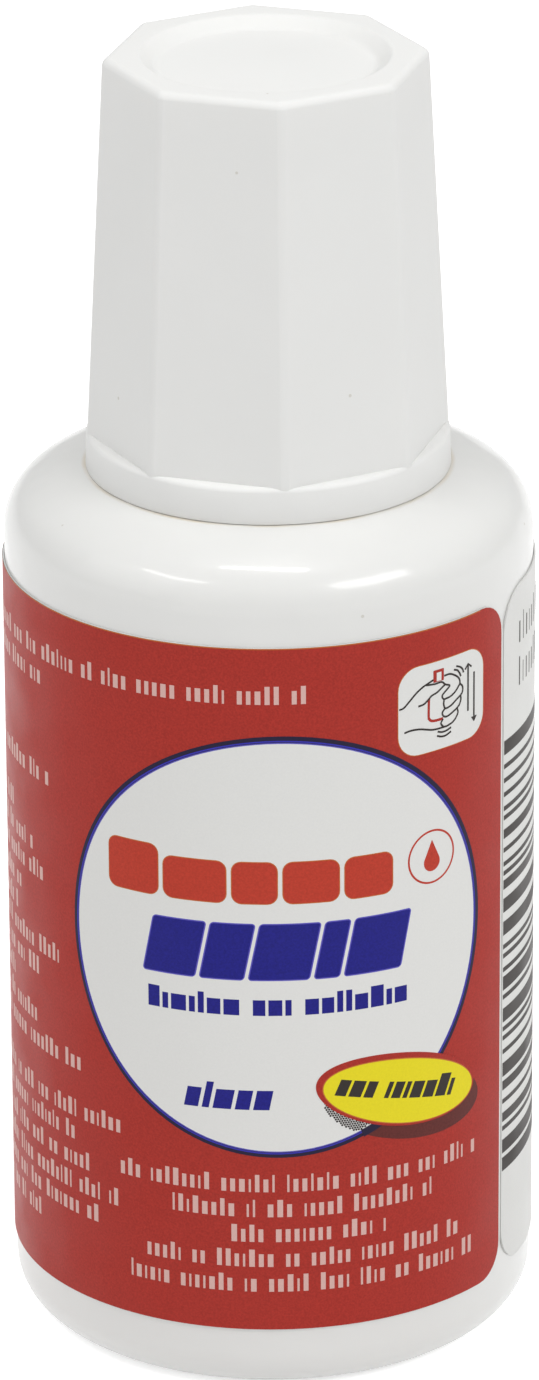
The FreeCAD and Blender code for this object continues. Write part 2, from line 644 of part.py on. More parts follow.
def build_bristle_anchor():
    """Metal staple that holds the folded tuft in its hole."""
    anchor = doc.addObject("Part::Box", "bristle_anchor")
    anchor.Label = "bristle_anchor"
    root_top = f"{STEM_BOTTOM} + tuft_hole_depth - tuft_clearance"
    width = f"2 * ({TUFT_HOLE} - anchor_end_gap)"
    sizes = {
        "Length": width,
        "Width": "anchor_thickness",
        "Height": "anchor_height - 2 * anchor_clearance",
        "Placement.Base.x": f"-({TUFT_HOLE} - anchor_end_gap)",
        "Placement.Base.y": "-anchor_thickness / 2",
        "Placement.Base.z": f"{root_top} - anchor_height + anchor_clearance",
    }
    for name, text in sizes.items():
        anchor.setExpression(name, bound(text))
    return anchor


def build_mixing_ball():
    """Steel ball at rest against the wall, on the floor or the slope beside it."""
    ball = doc.addObject("Part::Sphere", "mixing_ball")
    ball.Label = "mixing_ball"
    reach = "(bottle_radius - bottle_wall - ball_radius - ball_seat_gap)"
    ball.setExpression("Radius", bound("ball_radius"))
    ball.setExpression("Placement.Base.x", bound(f"{reach} * cos(ball_azimuth)"))
    ball.setExpression("Placement.Base.y", bound(f"{reach} * sin(ball_azimuth)"))
    room = f"({reach} - {STAND_INNER} - {PUSH_UP_SHIFT})"
    over_slope = (f"(ball_radius + ball_seat_gap) / cos({PUSH_UP_SLOPE})"
                  f" - {room} * tan({PUSH_UP_SLOPE})")
    ball.setExpression("Placement.Base.z", bound(
        f"bottle_wall + max(ball_radius + ball_seat_gap; {over_slope})"))
    return ball


pieces = [
    build_bottle(),
    build_label(),
    build_neck_wiper(),
    build_mixing_ball(),
    build_cap_washer(),
    build_cap(),
    build_cap_core(),
    build_stem(),
    build_bristles(),
    build_bristle_anchor(),
]
doc.recompute()

for item in doc.Objects:
    if "Invalid" in item.State or "Error" in item.State:
        raise RuntimeError(f"{item.Name} is {item.State}")
for piece in pieces:
    if piece.Shape.isNull() or not piece.Shape.isValid() or len(piece.Shape.Solids) != 1:
        raise RuntimeError(f"{piece.Label} has no single valid solid")

os.makedirs("parts", exist_ok=True)
for piece in pieces:
    piece.Shape.exportStep(os.path.join("parts", piece.Label + ".step"))
    box = piece.Shape.BoundBox
    print(f"{piece.Label:16} {piece.Shape.Volume:10.2f} mm3  z {box.ZMin:7.3f} to {box.ZMax:7.3f}"
          f"  r {max(box.XMax, -box.XMin, box.YMax, -box.YMin):6.3f}  faces {len(piece.Shape.Faces)}")
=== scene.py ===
# %% [markdown]
# # A correction fluid bottle
# The object is a white blown bottle, 28 mm across, with a printed wrap label and an
# octagonal screw cap that carries a brush. The construction comes as a fixed frame: each
# node is at its real place and size. This script gives every piece a smooth mesh and a
# finish, adds the print, and sets the light and the camera.

# %% Load the frame
import math
import random

import bmesh
import bpy
from mathutils import Matrix, Quaternion, Vector


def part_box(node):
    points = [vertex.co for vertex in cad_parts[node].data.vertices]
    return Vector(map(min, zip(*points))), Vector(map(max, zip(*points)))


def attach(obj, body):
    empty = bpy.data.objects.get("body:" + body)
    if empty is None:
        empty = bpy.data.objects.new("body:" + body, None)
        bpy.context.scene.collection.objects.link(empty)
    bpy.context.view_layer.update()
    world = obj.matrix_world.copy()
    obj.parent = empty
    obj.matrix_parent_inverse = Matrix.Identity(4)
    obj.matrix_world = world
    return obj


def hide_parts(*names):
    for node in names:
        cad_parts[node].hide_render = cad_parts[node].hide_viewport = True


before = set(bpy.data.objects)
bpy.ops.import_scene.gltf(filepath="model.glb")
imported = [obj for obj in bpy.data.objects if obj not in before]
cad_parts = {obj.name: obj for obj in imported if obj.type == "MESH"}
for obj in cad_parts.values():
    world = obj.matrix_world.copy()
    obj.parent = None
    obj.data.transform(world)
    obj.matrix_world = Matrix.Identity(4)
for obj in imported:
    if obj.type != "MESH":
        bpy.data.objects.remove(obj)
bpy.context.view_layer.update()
MM = 0.001
print("nodes:", sorted(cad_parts))

# %% [markdown]
# ## Sizes
# What the frame can tell is read from it: a node's box gives its radius and its two
# heights. The rest are the sizes that a maker would read off the real bottle. All are in
# millimetres, because that is how such a bottle is measured, and `MM` turns them into
# Blender's metres.

# %% Sizes read from the frame


def radius_of(node):
    """Outside radius of a round node, in mm."""
    low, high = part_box(node)
    return (high.y - low.y) / 2 / MM


def heights_of(node):
    """Lowest and highest point of a node, in mm."""
    low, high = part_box(node)
    return low.z / MM, high.z / MM


BOTTLE_RADIUS = radius_of("bottle")
NECK_TOP = heights_of("bottle")[1]
LABEL_RADIUS = radius_of("label")
LABEL_BOTTOM, LABEL_TOP = heights_of("label")
CAP_BOTTOM, CAP_TOP = heights_of("cap")
WIPER_BOTTOM, WIPER_TOP = heights_of("neck_wiper")
WASHER_BOTTOM, WASHER_TOP = heights_of("cap_washer")
STEM_BOTTOM, STEM_TOP = heights_of("stem")
TUFT_TIP, TUFT_TOP = heights_of("bristles")
print(f"bottle {BOTTLE_RADIUS:.2f} mm in radius, neck to {NECK_TOP:.2f}, cap to {CAP_TOP:.2f}")

# %% [markdown]
# ## Turned pieces
# The bottle, its neck insert, the washer and the brush stem are round about one axis. On
# a lathe each would be one profile, so here each is one outline of radius and height that
# `bmesh.ops.spin` carries round. An outline's corner may have a rounding, which becomes
# an arc with a few points. The spin merges its last step with its first, and where the
# outline touches the axis its points are merged into one pole.

# %% A profile with rounded corners, and the spin


def rounded_profile(corners, steps=6):
    """Points (r, z) through corners (r, z) or (r, z, rounding), with an arc at each rounding.

    The first and last corners are ends, and are kept as they are.
    """
    points = [Vector(corners[0][:2])]
    for before, corner, after in zip(corners, corners[1:], corners[2:]):
        spot = Vector(corner[:2])
        if len(corner) == 2:
            points.append(spot)
            continue
        back = (Vector(before[:2]) - spot).normalized()
        ahead = (Vector(after[:2]) - spot).normalized()
        half = back.angle(ahead) / 2
        reach = corner[2] / math.tan(half)
        center = spot + (back + ahead).normalized() * (corner[2] / math.sin(half))
        start = spot + back * reach - center
        end = spot + ahead * reach - center
        turn = start.angle_signed(end)
        for step in range(steps + 1):
            angle = -turn * step / steps
            points.append(center + Matrix.Rotation(angle, 2) @ start)
    points.append(Vector(corners[-1][:2]))
    return points


MERGE_DISTANCE = 0.0002 * MM


def spin_profile(bm, points, closed, steps=160):
    """Carry a profile round the Z axis, in metres, and close its seam and poles."""
    verts = [bm.verts.new((r * MM, 0, z * MM)) for r, z in points]
    edges = [bm.edges.new(pair) for pair in zip(verts, verts[1:])]
    if closed:
        edges.append(bm.edges.new((verts[-1], verts[0])))
    bmesh.ops.spin(bm, geom=verts + edges, cent=(0, 0, 0), axis=(0, 0, 1), angle=2 * math.pi,
                   steps=steps, use_merge=True)
    bmesh.ops.remove_doubles(bm, verts=bm.verts, dist=MERGE_DISTANCE)


# %% [markdown]
# ## From a bmesh to a piece
# Every piece ends the same way. Its faces are turned outwards, it is shaded smooth with
# its real edges kept sharp, it gets its finish, and it is tied to the body of the frame
# that it moves with. `PIECES` counts what was made.

# %% Finish a piece

PIECES = []


def finish_piece(name, bm, material, body, sharp=35):
    """Make the bmesh an object that rides on a body of the frame. Sharp is in degrees."""
    bmesh.ops.recalc_face_normals(bm, faces=bm.faces)
    mesh = bpy.data.meshes.new(name)
    bm.to_mesh(mesh)
    bm.free()
    mesh.materials.append(material)
    mesh.shade_smooth()
    mesh.set_sharp_from_angle(angle=math.radians(sharp))
    piece = bpy.data.objects.new(name, mesh)
    bpy.context.scene.collection.objects.link(piece)
    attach(piece, body)
    PIECES.append(name)
    print(f"{name}: {len(mesh.polygons)} faces")
    return piece


def weigh_normals(piece):
    """Let the large flat faces decide how their soft edges are shaded."""
    modifier = piece.modifiers.new("flat sides first", "WEIGHTED_NORMAL")
    modifier.keep_sharp = True
    modifier.weight = 80


# %% [markdown]
# ## Plastics
# The bottle is glossy polyethylene, the cap is satin polypropylene. Neither is a flat
# white: moulded plastic has a slightly uneven skin that bends its reflections, a few tiny
# specks, and a tone that wanders by a percent or two. Where the cap's ring meets the
# shoulder, the bottle has a faint pale brown line of painted shade. One function makes
# such a material, and each plastic gives it its own numbers. The patterns read Object
# coordinates, so they hold still on the piece.

# %% A moulded plastic


def link(tree, start, end):
    """Join one node's output to another's input."""
    tree.links.new(start, end)


def pattern_coordinates(tree, scale=(1, 1, 1)):
    """Object coordinates through a Mapping node, in metres times a scale."""
    coordinates = tree.nodes.new("ShaderNodeTexCoord")
    mapping = tree.nodes.new("ShaderNodeMapping")
    mapping.inputs["Scale"].default_value = scale
    link(tree, coordinates.outputs["Object"], mapping.inputs["Vector"])
    return mapping.outputs["Vector"]


def noise(tree, vector, size_mm, detail=2.0):
    """A noise whose blotches are about that many millimetres wide."""
    node = tree.nodes.new("ShaderNodeTexNoise")
    node.inputs["Scale"].default_value = 1 / (size_mm * MM)
    node.inputs["Detail"].default_value = detail
    link(tree, vector, node.inputs["Vector"])
    return node.outputs["Fac"]


def ramp(tree, value, stops):
    """A color ramp through (position, color) stops."""
    node = tree.nodes.new("ShaderNodeValToRGB")
    elements = node.color_ramp.elements
    elements[0].position, elements[0].color = stops[0][0], (*stops[0][1], 1)
    elements[1].position, elements[1].color = stops[-1][0], (*stops[-1][1], 1)
    for position, color in stops[1:-1]:
        elements.new(position).color = (*color, 1)
    link(tree, value, node.inputs["Fac"])
    return node.outputs["Color"]


def to_range(tree, value, low, high, from_low=0.3, from_high=0.7):
    """Map a noise value to the range from low to high."""
    node = tree.nodes.new("ShaderNodeMapRange")
    node.inputs["From Min"].default_value = from_low
    node.inputs["From Max"].default_value = from_high
    node.inputs["To Min"].default_value = low
    node.inputs["To Max"].default_value = high
    link(tree, value, node.inputs["Value"])
    return node.outputs["Result"]


def bump(tree, height, depth_mm, before=None):
    """A bump whose height of 1 is that many millimetres."""
    node = tree.nodes.new("ShaderNodeBump")
    node.inputs["Distance"].default_value = depth_mm * MM
    link(tree, height, node.inputs["Height"])
    if before:
        link(tree, before, node.inputs["Normal"])
    return node.outputs["Normal"]


def new_material(name):
    """A new material, with its node tree and its shader."""
    material = bpy.data.materials.new(name)
    material.use_nodes = True
    tree = material.node_tree
    return material, tree, tree.nodes["Principled BSDF"]


def shade(color, factor):
    """A color times a factor."""
    return tuple(channel * factor for channel in color)


def math_node(tree, operation, first, second):
    """A Math node on a socket and on a second socket or a plain number."""
    node = tree.nodes.new("ShaderNodeMath")
    node.operation = operation
    link(tree, first, node.inputs[0])
    if isinstance(second, float):
        node.inputs[1].default_value = second
    else:
        link(tree, second, node.inputs[1])
    return node.outputs[0]


def tinted(tree, color, amount, tint):
    """Multiply a color by a tint, as far as the amount says."""
    mix = tree.nodes.new("ShaderNodeMix")
    mix.data_type = "RGBA"
    mix.blend_type = "MULTIPLY"
    mix.inputs["B"].default_value = (*tint, 1)
    link(tree, amount, mix.inputs["Factor"])
    link(tree, color, mix.inputs["A"])
    return mix.outputs["Result"]


def specks(tree, place, color, spacing_mm=3.0, size=0.03):
    """Darken a color at a few tiny specks. Size is a share of the spacing."""
    cells = tree.nodes.new("ShaderNodeTexVoronoi")
    cells.inputs["Scale"].default_value = 1 / (spacing_mm * MM)
    link(tree, place, cells.inputs["Vector"])
    near = math_node(tree, "LESS_THAN", cells.outputs["Distance"], size)
    return tinted(tree, color, near, (0.82, 0.80, 0.76))


def contact_shade_line(tree, place, color, radius_mm, width_mm=0.2, patch_mm=3):
    """Tint a color pale brown along a circle about the Z axis, in some parts more, as painted shade."""
    reach = tree.nodes.new("ShaderNodeVectorMath")
    reach.operation = "LENGTH"
    link(tree, pattern_coordinates(tree, (1, 1, 0)), reach.inputs[0])
    across = to_range(tree, reach.outputs["Value"], 0, 1, (radius_mm - width_mm) * MM,
                      (radius_mm + width_mm) * MM)
    band = ramp(tree, across, [(0.0, (0, 0, 0)), (0.5, (1, 1, 1)), (1.0, (0, 0, 0))])
    patches = to_range(tree, noise(tree, place, patch_mm), 0.25, 1)
    # Painted shade: the pale brown tint darkens the gap under the cap's ring
    return tinted(tree, color, math_node(tree, "MULTIPLY", band, patches), (0.88, 0.79, 0.66))


# Sizes of the patterns in a plastic's skin, in mm
TONE_SIZE = 9
GLOSS_SIZE = 8
WAVE_SIZE = 7
RIPPLE_SIZE = 2.4
GRAIN_SIZE = 0.35


def moulded_plastic(name, color, roughness, waviness_mm, skin_mm, coat=0.0, glow=0.0, gloss=0.5,
                    contact_shade_radius=None):
    """Plastic with an uneven skin: slow waves, ripples, a fine grain and specks."""
    material, tree, shader = new_material(name)
    place = pattern_coordinates(tree)
    tone = ramp(tree, noise(tree, place, TONE_SIZE), [(0.3, shade(color, 0.985)), (0.7, color)])
    haze = noise(tree, place, GLOSS_SIZE, 1)
    tone = specks(tree, place, tone)
    # Painted shade where the cap's ring meets the shoulder
    if contact_shade_radius:
        tone = contact_shade_line(tree, place, tone, contact_shade_radius)
    link(tree, tone, shader.inputs["Base Color"])
    link(tree, to_range(tree, haze, roughness * 0.95, roughness * 1.05, 0, 1), shader.inputs["Roughness"])
    waves = bump(tree, noise(tree, place, WAVE_SIZE, 1.6), waviness_mm)
    ripples = bump(tree, noise(tree, place, RIPPLE_SIZE, 1), waviness_mm * 0.5, waves)
    grain = bump(tree, noise(tree, place, GRAIN_SIZE, 3), skin_mm, ripples)
    link(tree, grain, shader.inputs["Normal"])
    link(tree, ripples, shader.inputs["Coat Normal"])
    shader.inputs["IOR"].default_value = 1.5
    shader.inputs["Specular IOR Level"].default_value = gloss
    shader.inputs["Coat Weight"].default_value = coat
    shader.inputs["Coat Roughness"].default_value = 0.08
    shader.inputs["Subsurface Weight"].default_value = glow
    shader.inputs["Subsurface Scale"].default_value = 1.6 * MM
    shader.inputs["Subsurface Radius"].default_value = (1.0, 0.95, 0.88)
    return material


RING_RADIUS = 9.56
# The pale brown line of painted shade lies just outside the foot of the cap's ring
CONTACT_SHADE_RADIUS = RING_RADIUS + 0.05
BOTTLE_WHITE = moulded_plastic("bottle white", (0.78, 0.78, 0.762), 0.32, 0.13, 0.002,
                               coat=0.45, glow=0.1, gloss=0.35, contact_shade_radius=CONTACT_SHADE_RADIUS)
CAP_WHITE = moulded_plastic("cap white", (0.815, 0.815, 0.80), 0.52, 0.03, 0.004, glow=0.1, gloss=0.1)
STEM_WHITE = moulded_plastic("stem white", (0.78, 0.78, 0.77), 0.38, 0.03, 0.003)
WIPER_CLEAR = moulded_plastic("wiper natural", (0.70, 0.715, 0.70), 0.30, 0.03, 0.003, glow=0.5)
print("plastics:", len(bpy.data.materials))

# %% [markdown]
# ## The bottle
# A blown bottle has one wall all over: a pushed-up base inside a standing ring, a round
# foot, a straight wall, a sloping shoulder and a neck. Its outline runs from the middle
# of the base up the outside, over the neck's rim and down the inside, back to the axis,
# so one spin makes the whole closed wall.

# %% Spin the bottle

WALL = 0.9
PUSH_UP = 1.3
PUSH_UP_RADIUS = 7.6
STAND_INNER = 10.1
PUSH_UP_ROUND = 1.6
STAND_ROUND = 0.7
FOOT_ROUND = 2.5
SHOULDER_CORNER = 45.75
CORNER_ROUND = 2.8
SHOULDER_TOP = 47.72
SHOULDER_FLAT = 10.85
SHOULDER_ROUND = 6.4
NECK_RADIUS = 5.0
NECK_BORE = 3.6

bottle_outside = [
    (0, PUSH_UP),
    (PUSH_UP_RADIUS, PUSH_UP, PUSH_UP_ROUND),
    (STAND_INNER, 0, STAND_ROUND),
    (BOTTLE_RADIUS, 0, FOOT_ROUND),
    (BOTTLE_RADIUS, SHOULDER_CORNER, CORNER_ROUND),
    (SHOULDER_FLAT, SHOULDER_TOP, SHOULDER_ROUND),
    (NECK_RADIUS, SHOULDER_TOP, 0.45),
    (NECK_RADIUS, NECK_TOP, 0.3),
    (NECK_BORE, NECK_TOP, 0.25),
]
bottle_inside = [
    (NECK_BORE, SHOULDER_TOP - WALL, 0.8),
    (SHOULDER_FLAT - 0.5, SHOULDER_TOP - WALL, SHOULDER_ROUND - WALL),
    (BOTTLE_RADIUS - WALL, SHOULDER_CORNER - 0.5, CORNER_ROUND - WALL),
    (BOTTLE_RADIUS - WALL, WALL, FOOT_ROUND - WALL),
    (STAND_INNER + 0.2, WALL, STAND_ROUND),
    (PUSH_UP_RADIUS + 0.2, PUSH_UP + WALL, PUSH_UP_ROUND),
    (0, PUSH_UP + WALL),
]
bm = bmesh.new()
spin_profile(bm, rounded_profile(bottle_outside + bottle_inside, steps=9), closed=False, steps=192)
print("bottle wall:", len(bm.faces), "faces")

# %% [markdown]
# The neck's thread is a ridge that climbs 3 mm in a turn. A spin may also move its
# profile along the axis at each step, and that makes a true helix. The profile is the
# ridge's section with its foot sunk into the wall. The two ends are closed by a face.

# %% Spin a thread ridge onto the neck

THREAD_LEAD = 3.0
THREAD_TURNS = 1.5
THREAD_START = 50.4
THREAD_DEPTH = 0.75
THREAD_STEPS = 144
RIDGE_FOOT = 0.85
RIDGE_CREST = 0.35


def spin_thread(bm, foot, crest, start, start_angle):
    """A helical ridge from its foot radius to its crest radius, in mm."""
    section = [(foot, -RIDGE_FOOT), (crest, -RIDGE_CREST), (crest, RIDGE_CREST), (foot, RIDGE_FOOT)]
    turn = Matrix.Rotation(start_angle, 4, "Z")
    verts = [bm.verts.new(turn @ Vector((r * MM, 0, (start + z) * MM))) for r, z in section]
    first = bm.faces.new(verts)
    rise = THREAD_LEAD * THREAD_TURNS * MM / THREAD_STEPS
    bmesh.ops.spin(bm, geom=[first], cent=(0, 0, 0), axis=(0, 0, 1), angle=2 * math.pi * THREAD_TURNS,
                   dvec=(0, 0, rise), steps=THREAD_STEPS)


spin_thread(bm, NECK_RADIUS - 0.2, NECK_RADIUS + THREAD_DEPTH, THREAD_START, 0)
bottle = finish_piece("bottle_shell", bm, BOTTLE_WHITE, "bottle")
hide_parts("bottle")

# %% [markdown]
# ## The label's sheet
# The label is laid out flat first, as a printer would: x runs along the sheet from the
# middle of the bottle's front, z is the height. Each shape is a thin plate, from just
# under the sheet's surface up to its own lift, because several inks lie over each other.
# Every plate is cut at the same upright lines. When the flat work is done, all of them
# are bent round the bottle, so the layers stay parallel and never cross.

# %% Plates, cuts and the bend

COLUMN = 0.5
LIFT = 0.004
SHEET_ROUND = 2 * math.pi * LABEL_RADIUS
SEAM_ANGLE = math.radians(59.8)
SEAM_GAP = math.radians(0.5)
SHEET_RIGHT = SEAM_ANGLE * LABEL_RADIUS
SHEET_LEFT = SHEET_RIGHT + SEAM_GAP * LABEL_RADIUS - SHEET_ROUND


def plate(bm, outline, layer, depth=0.02):
    """A flat plate over an outline of (x, z) points, in mm, on the given layer.

    It is cut at every column line that it crosses, so that it can be bent later. The
    dictionaries hold each edge and face once, in a fixed order.
    """
    lower = [bm.verts.new((x * MM, depth * MM, z * MM)) for x, z in outline]
    face = bm.faces.new(lower)
    raised = bmesh.ops.extrude_face_region(bm, geom=[face])["geom"]
    upper = [item for item in raised if isinstance(item, bmesh.types.BMVert)]
    bmesh.ops.translate(bm, verts=upper, vec=(0, -(depth + layer * LIFT) * MM, 0))
    verts = lower + upper
    edges = dict.fromkeys(edge for vert in verts for edge in vert.link_edges)
    faces = dict.fromkeys(side for vert in verts for side in vert.link_faces)
    pieces = [*verts, *edges, *faces]
    low = min(x for x, z in outline)
    high = max(x for x, z in outline)
    for column in range(math.ceil(low / COLUMN), math.floor(high / COLUMN) + 1):
        pieces = bmesh.ops.bisect_plane(
            bm, geom=pieces, dist=1e-8, plane_co=(column * COLUMN * MM, 0, 0), plane_no=(1, 0, 0))["geom"]


def bend_round(bm):
    """Bend the flat plates round the bottle."""
    for vert in bm.verts:
        angle = vert.co.x / (LABEL_RADIUS * MM)
        reach = LABEL_RADIUS * MM - vert.co.y
        vert.co = Vector((reach * math.sin(angle), -reach * math.cos(angle), vert.co.z))


def ellipse(x, z, across, up, tilt=0.0, steps=96):
    """Outline of an ellipse with those half axes, in mm, tilted anticlockwise in degrees."""
    turn = Matrix.Rotation(math.radians(tilt), 2)
    points = []
    for step in range(steps):
        angle = 2 * math.pi * step / steps
        points.append(Vector((x, z)) + turn @ Vector((across * math.cos(angle), up * math.sin(angle))))
    return points


def rounded_box(left, right, low, high, rounds, steps=8):
    """Outline of a box. Rounds are its corner radii, from the lower left anticlockwise."""
    centers = [(left + rounds[0], low + rounds[0]), (right - rounds[1], low + rounds[1]),
               (right - rounds[2], high - rounds[2]), (left + rounds[3], high - rounds[3])]
    points = []
    for corner, (center, rounding) in enumerate(zip(centers, rounds)):
        for step in range(steps + 1 if rounding else 1):
            angle = math.radians(180 + 90 * corner + 90 * step / steps)
            points.append(Vector(center) + rounding * Vector((math.cos(angle), math.sin(angle))))
    return points


def slanted(outline, slope, foot):
    """Lean an outline to the right, the more the higher it is above its foot."""
    return [Vector((x + (z - foot) * slope, z)) for x, z in outline]


def tilted(outline, center, degrees):
    """Turn an outline about a centre."""
    turn = Matrix.Rotation(math.radians(degrees), 2)
    return [Vector(center) + turn @ (Vector(point) - Vector(center)) for point in outline]


print(f"once round the bottle: {SHEET_ROUND:.2f} mm")


# %% [markdown]
# ## Printing inks
# The inks lie on a satin film. Each is a plain colour with the faint mottling of offset
# print, and the film's gloss over it.

# %% Inks and film


def printed_film(name, color, mottle=0.05, roughness=0.42):
    """An ink under the film's satin gloss."""
    material, tree, shader = new_material(name)
    place = pattern_coordinates(tree)
    speckle = noise(tree, place, 0.11, 2)
    tone = ramp(tree, speckle, [(0.3, shade(color, 1 - mottle)), (0.7, shade(color, 1 + mottle / 3))])
    link(tree, tone, shader.inputs["Base Color"])
    link(tree, to_range(tree, noise(tree, place, 2.5, 3), roughness * 0.85, roughness * 1.15),
         shader.inputs["Roughness"])
    link(tree, bump(tree, noise(tree, place, 5, 1), 0.02), shader.inputs["Normal"])
    shader.inputs["IOR"].default_value = 1.45
    shader.inputs["Specular IOR Level"].default_value = 0.17
    return material


INKS = {
    "film": printed_film("label film", (0.755, 0.755, 0.735), 0.02),
    "red": printed_film("red ink", (0.42, 0.034, 0.024), 0.20),
    "word_red": printed_film("bright red ink", (0.52, 0.050, 0.028), 0.15),
    "orange": printed_film("orange ink", (0.55, 0.16, 0.04), 0.05),
    "white": printed_film("white of the label", (0.775, 0.775, 0.755), 0.02),
    "pale": printed_film("pale pink of the small rows", (0.70, 0.45, 0.41), 0.03),
    "navy": printed_film("navy ink", (0.018, 0.013, 0.04), 0.1),
    "blue": printed_film("blue ink", (0.045, 0.04, 0.45), 0.1),
    "word_blue": printed_film("dark blue ink", (0.016, 0.015, 0.23), 0.2),
    "violet": printed_film("violet ink", (0.11, 0.095, 0.50), 0.05),
    "yellow": printed_film("yellow ink", (0.82, 0.71, 0.020), 0.04),
    "shadow": printed_film("brown ink", (0.125, 0.026, 0.023), 0.2),
    "black": printed_film("black ink", (0.036, 0.029, 0.026), 0.1),
}
PRINT = {ink: bmesh.new() for ink in INKS}
print("inks:", ", ".join(INKS))

# %% [markdown]
# ## The red field and the white end
# The sheet is white film. Red covers it from the front edge at the seam all the way round
# to the back. The other end is left white for its bars. The two ends meet in a butt seam
# right of the front, with rounded corners.

# %% Lay out the film and the red field

FRONT_CORNER = 2.0
TAIL_CORNER = 2.3
BORDER = 0.16
WHITE_END = 21.0
FRINGE = 0.055

sheet_outline = rounded_box(SHEET_LEFT, SHEET_RIGHT, LABEL_BOTTOM, LABEL_TOP,
                            (TAIL_CORNER, FRONT_CORNER, FRONT_CORNER, TAIL_CORNER))
plate(PRINT["film"], sheet_outline, 0, depth=0.1)
red_outline = rounded_box(SHEET_LEFT + WHITE_END, SHEET_RIGHT - BORDER, LABEL_BOTTOM, LABEL_TOP,
                          (0, FRONT_CORNER - BORDER, FRONT_CORNER - BORDER, 0))
plate(PRINT["red"], red_outline, 1)
fringe_right = SHEET_RIGHT - BORDER - FRONT_CORNER
plate(PRINT["orange"], rounded_box(SHEET_LEFT + WHITE_END, fringe_right, LABEL_TOP - FRINGE, LABEL_TOP,
                                   (0,) * 4), 2)
print(f"sheet {SHEET_RIGHT - SHEET_LEFT:.2f} mm long, {LABEL_TOP - LABEL_BOTTOM:.2f} mm high")

# %% [markdown]
# ## The round panel
# A white disc carries the main print. Its rim is a violet hairline, a dark one, a bright
# blue line and a wider one that is nearly black. Each is a disc that covers the middle of
# the one before.

# %% Lay out the disc

DISC = (0.40, 25.9)
DISC_RADIUS = 11.54
NAVY_RADIUS = 11.93
DISC_RIMS = (("blue", 0.17), ("navy", 0.095), ("violet", 0.06), ("white", 0))
ON_DISC = 7

plate(PRINT["navy"], ellipse(DISC[0] + 0.02, DISC[1] + 0.02, NAVY_RADIUS, NAVY_RADIUS, steps=128), 2)
for layer, (ink, rim) in enumerate(DISC_RIMS, start=3):
    plate(PRINT[ink], ellipse(*DISC, DISC_RADIUS + rim, DISC_RADIUS + rim, steps=128), layer)
print("disc:", len(DISC_RIMS) + 1, "layers")

# %% [markdown]
# ## Rows of blocks
# The label's lines of print are rows of plain blocks, which give it its rhythm and say
# nothing. The large rows are a few bold blocks. The small ones are runs of tiny blocks
# whose widths come from a seeded random generator, so every run of the script is the same.

# %% Small and bold rows


def small_row(bm, layer, left, right, foot, height, rng, slope=0.0, center=None, degrees=0.0,
              block=0.26, gap=0.21, space=0.45):
    """Fill a row from left to right with short groups of small blocks."""
    x = left
    while x < right - block:
        for place in range(rng.randint(2, 8)):
            width = block * rng.choice((0.45, 0.9, 1.0, 1.0, 1.15))
            if x + width > right:
                return
            tall = height if rng.random() < 0.28 else height * 0.74
            outline = rounded_box(x, x + width, foot, foot + tall, (0, 0, 0, 0))
            outline = slanted(outline, slope, foot)
            if center:
                outline = tilted(outline, center, degrees)
            plate(bm, outline, layer)
            x += width + gap
        x += space


BOLD_GAP = 0.32


def bold_row(bm, layer, widths, left, right, foot, tops, slope=0.0, grow=0.0, rounding=0.5):
    """A row of bold rounded blocks that fills the width. Grow makes each block larger."""
    share = (right - left - BOLD_GAP * (len(widths) - 1)) / sum(widths)
    x = left
    for width, top in zip(widths, tops):
        outline = rounded_box(x - grow, x + width * share + grow, foot - grow, top + grow,
                              (rounding + grow,) * 4, steps=5)
        plate(bm, slanted(outline, slope, foot), layer)
        x += width * share + BOLD_GAP


rng = random.Random(20)

# The red row and the slanted blue row of the disc, each over a rim of another ink
RED_BLOCKS = (1.0, 1.15, 0.8, 1.0, 0.9)
RED_TOPS = (31.3, 30.8, 30.8, 30.8, 30.8)
BLUE_BLOCKS = (1.0, 0.8, 1.1, 0.45, 1.1)
BLUE_TOPS = (27.3,) * 5
RED_ROW = (RED_BLOCKS, -8.95, 6.5, 28.5, RED_TOPS)
BLUE_ROW = (BLUE_BLOCKS, -6.9, 6.95, 24.2, BLUE_TOPS)
ITALIC = 0.2
bold_row(PRINT["orange"], ON_DISC, *RED_ROW, grow=0.05)
bold_row(PRINT["word_red"], ON_DISC + 1, *RED_ROW)
bold_row(PRINT["violet"], ON_DISC, *BLUE_ROW, slope=ITALIC, grow=0.07, rounding=0.15)
bold_row(PRINT["word_blue"], ON_DISC + 1, *BLUE_ROW, slope=ITALIC, rounding=0.12)
small_row(PRINT["word_blue"], ON_DISC, -6.65, 7.6, 22.15, 1.2, rng, block=0.72, gap=0.16, space=0.55)
small_row(PRINT["word_blue"], ON_DISC, -4.7, 0.4, 16.75, 1.5, rng, slope=ITALIC, block=0.85, gap=0.2)
print("bold blocks:", len(RED_BLOCKS) + len(BLUE_BLOCKS))

# %% [markdown]
# ## The small rows
# Five centred rows stand under the disc. A ragged column of rows comes round from the
# back on the left, and two rows run on at the top left.

# %% Lay out the small rows

ROW_HEIGHT = 1.0
BOTTOM_ROWS = ((-8.5, 12.3, 12.0), (-5.4, 9.2, 10.55), (-2.2, 6.4, 9.1), (-6.9, 10.8, 7.65),
               (-7.9, 12.1, 6.2))
for left, right, foot in BOTTOM_ROWS:
    small_row(PRINT["pale"], 2, left, right, foot, ROW_HEIGHT, rng)

COLUMN_LEFT = -42.0
COLUMN_ROWS = ((32.6, -13.3), (29.75, -17.8), (28.35, -15.3), (26.95, -14.1), (25.5, -16.3),
               (24.05, -17.8), (22.75, -12.9), (21.35, -14.9), (19.9, -18.2), (18.5, -15.1),
               (17.1, -11.1), (14.3, -8.4), (12.95, -11.4), (11.45, -10.6), (10.0, -8.5),
               (8.65, -9.8), (7.2, -14.9))
TOP_ROWS = ((39.6, 2.0), (38.1, -13.5))
for foot, right in COLUMN_ROWS + TOP_ROWS:
    small_row(PRINT["pale"], 2, COLUMN_LEFT, right, foot, ROW_HEIGHT, rng)
print("print so far:", {ink: len(made.faces) for ink, made in PRINT.items()})

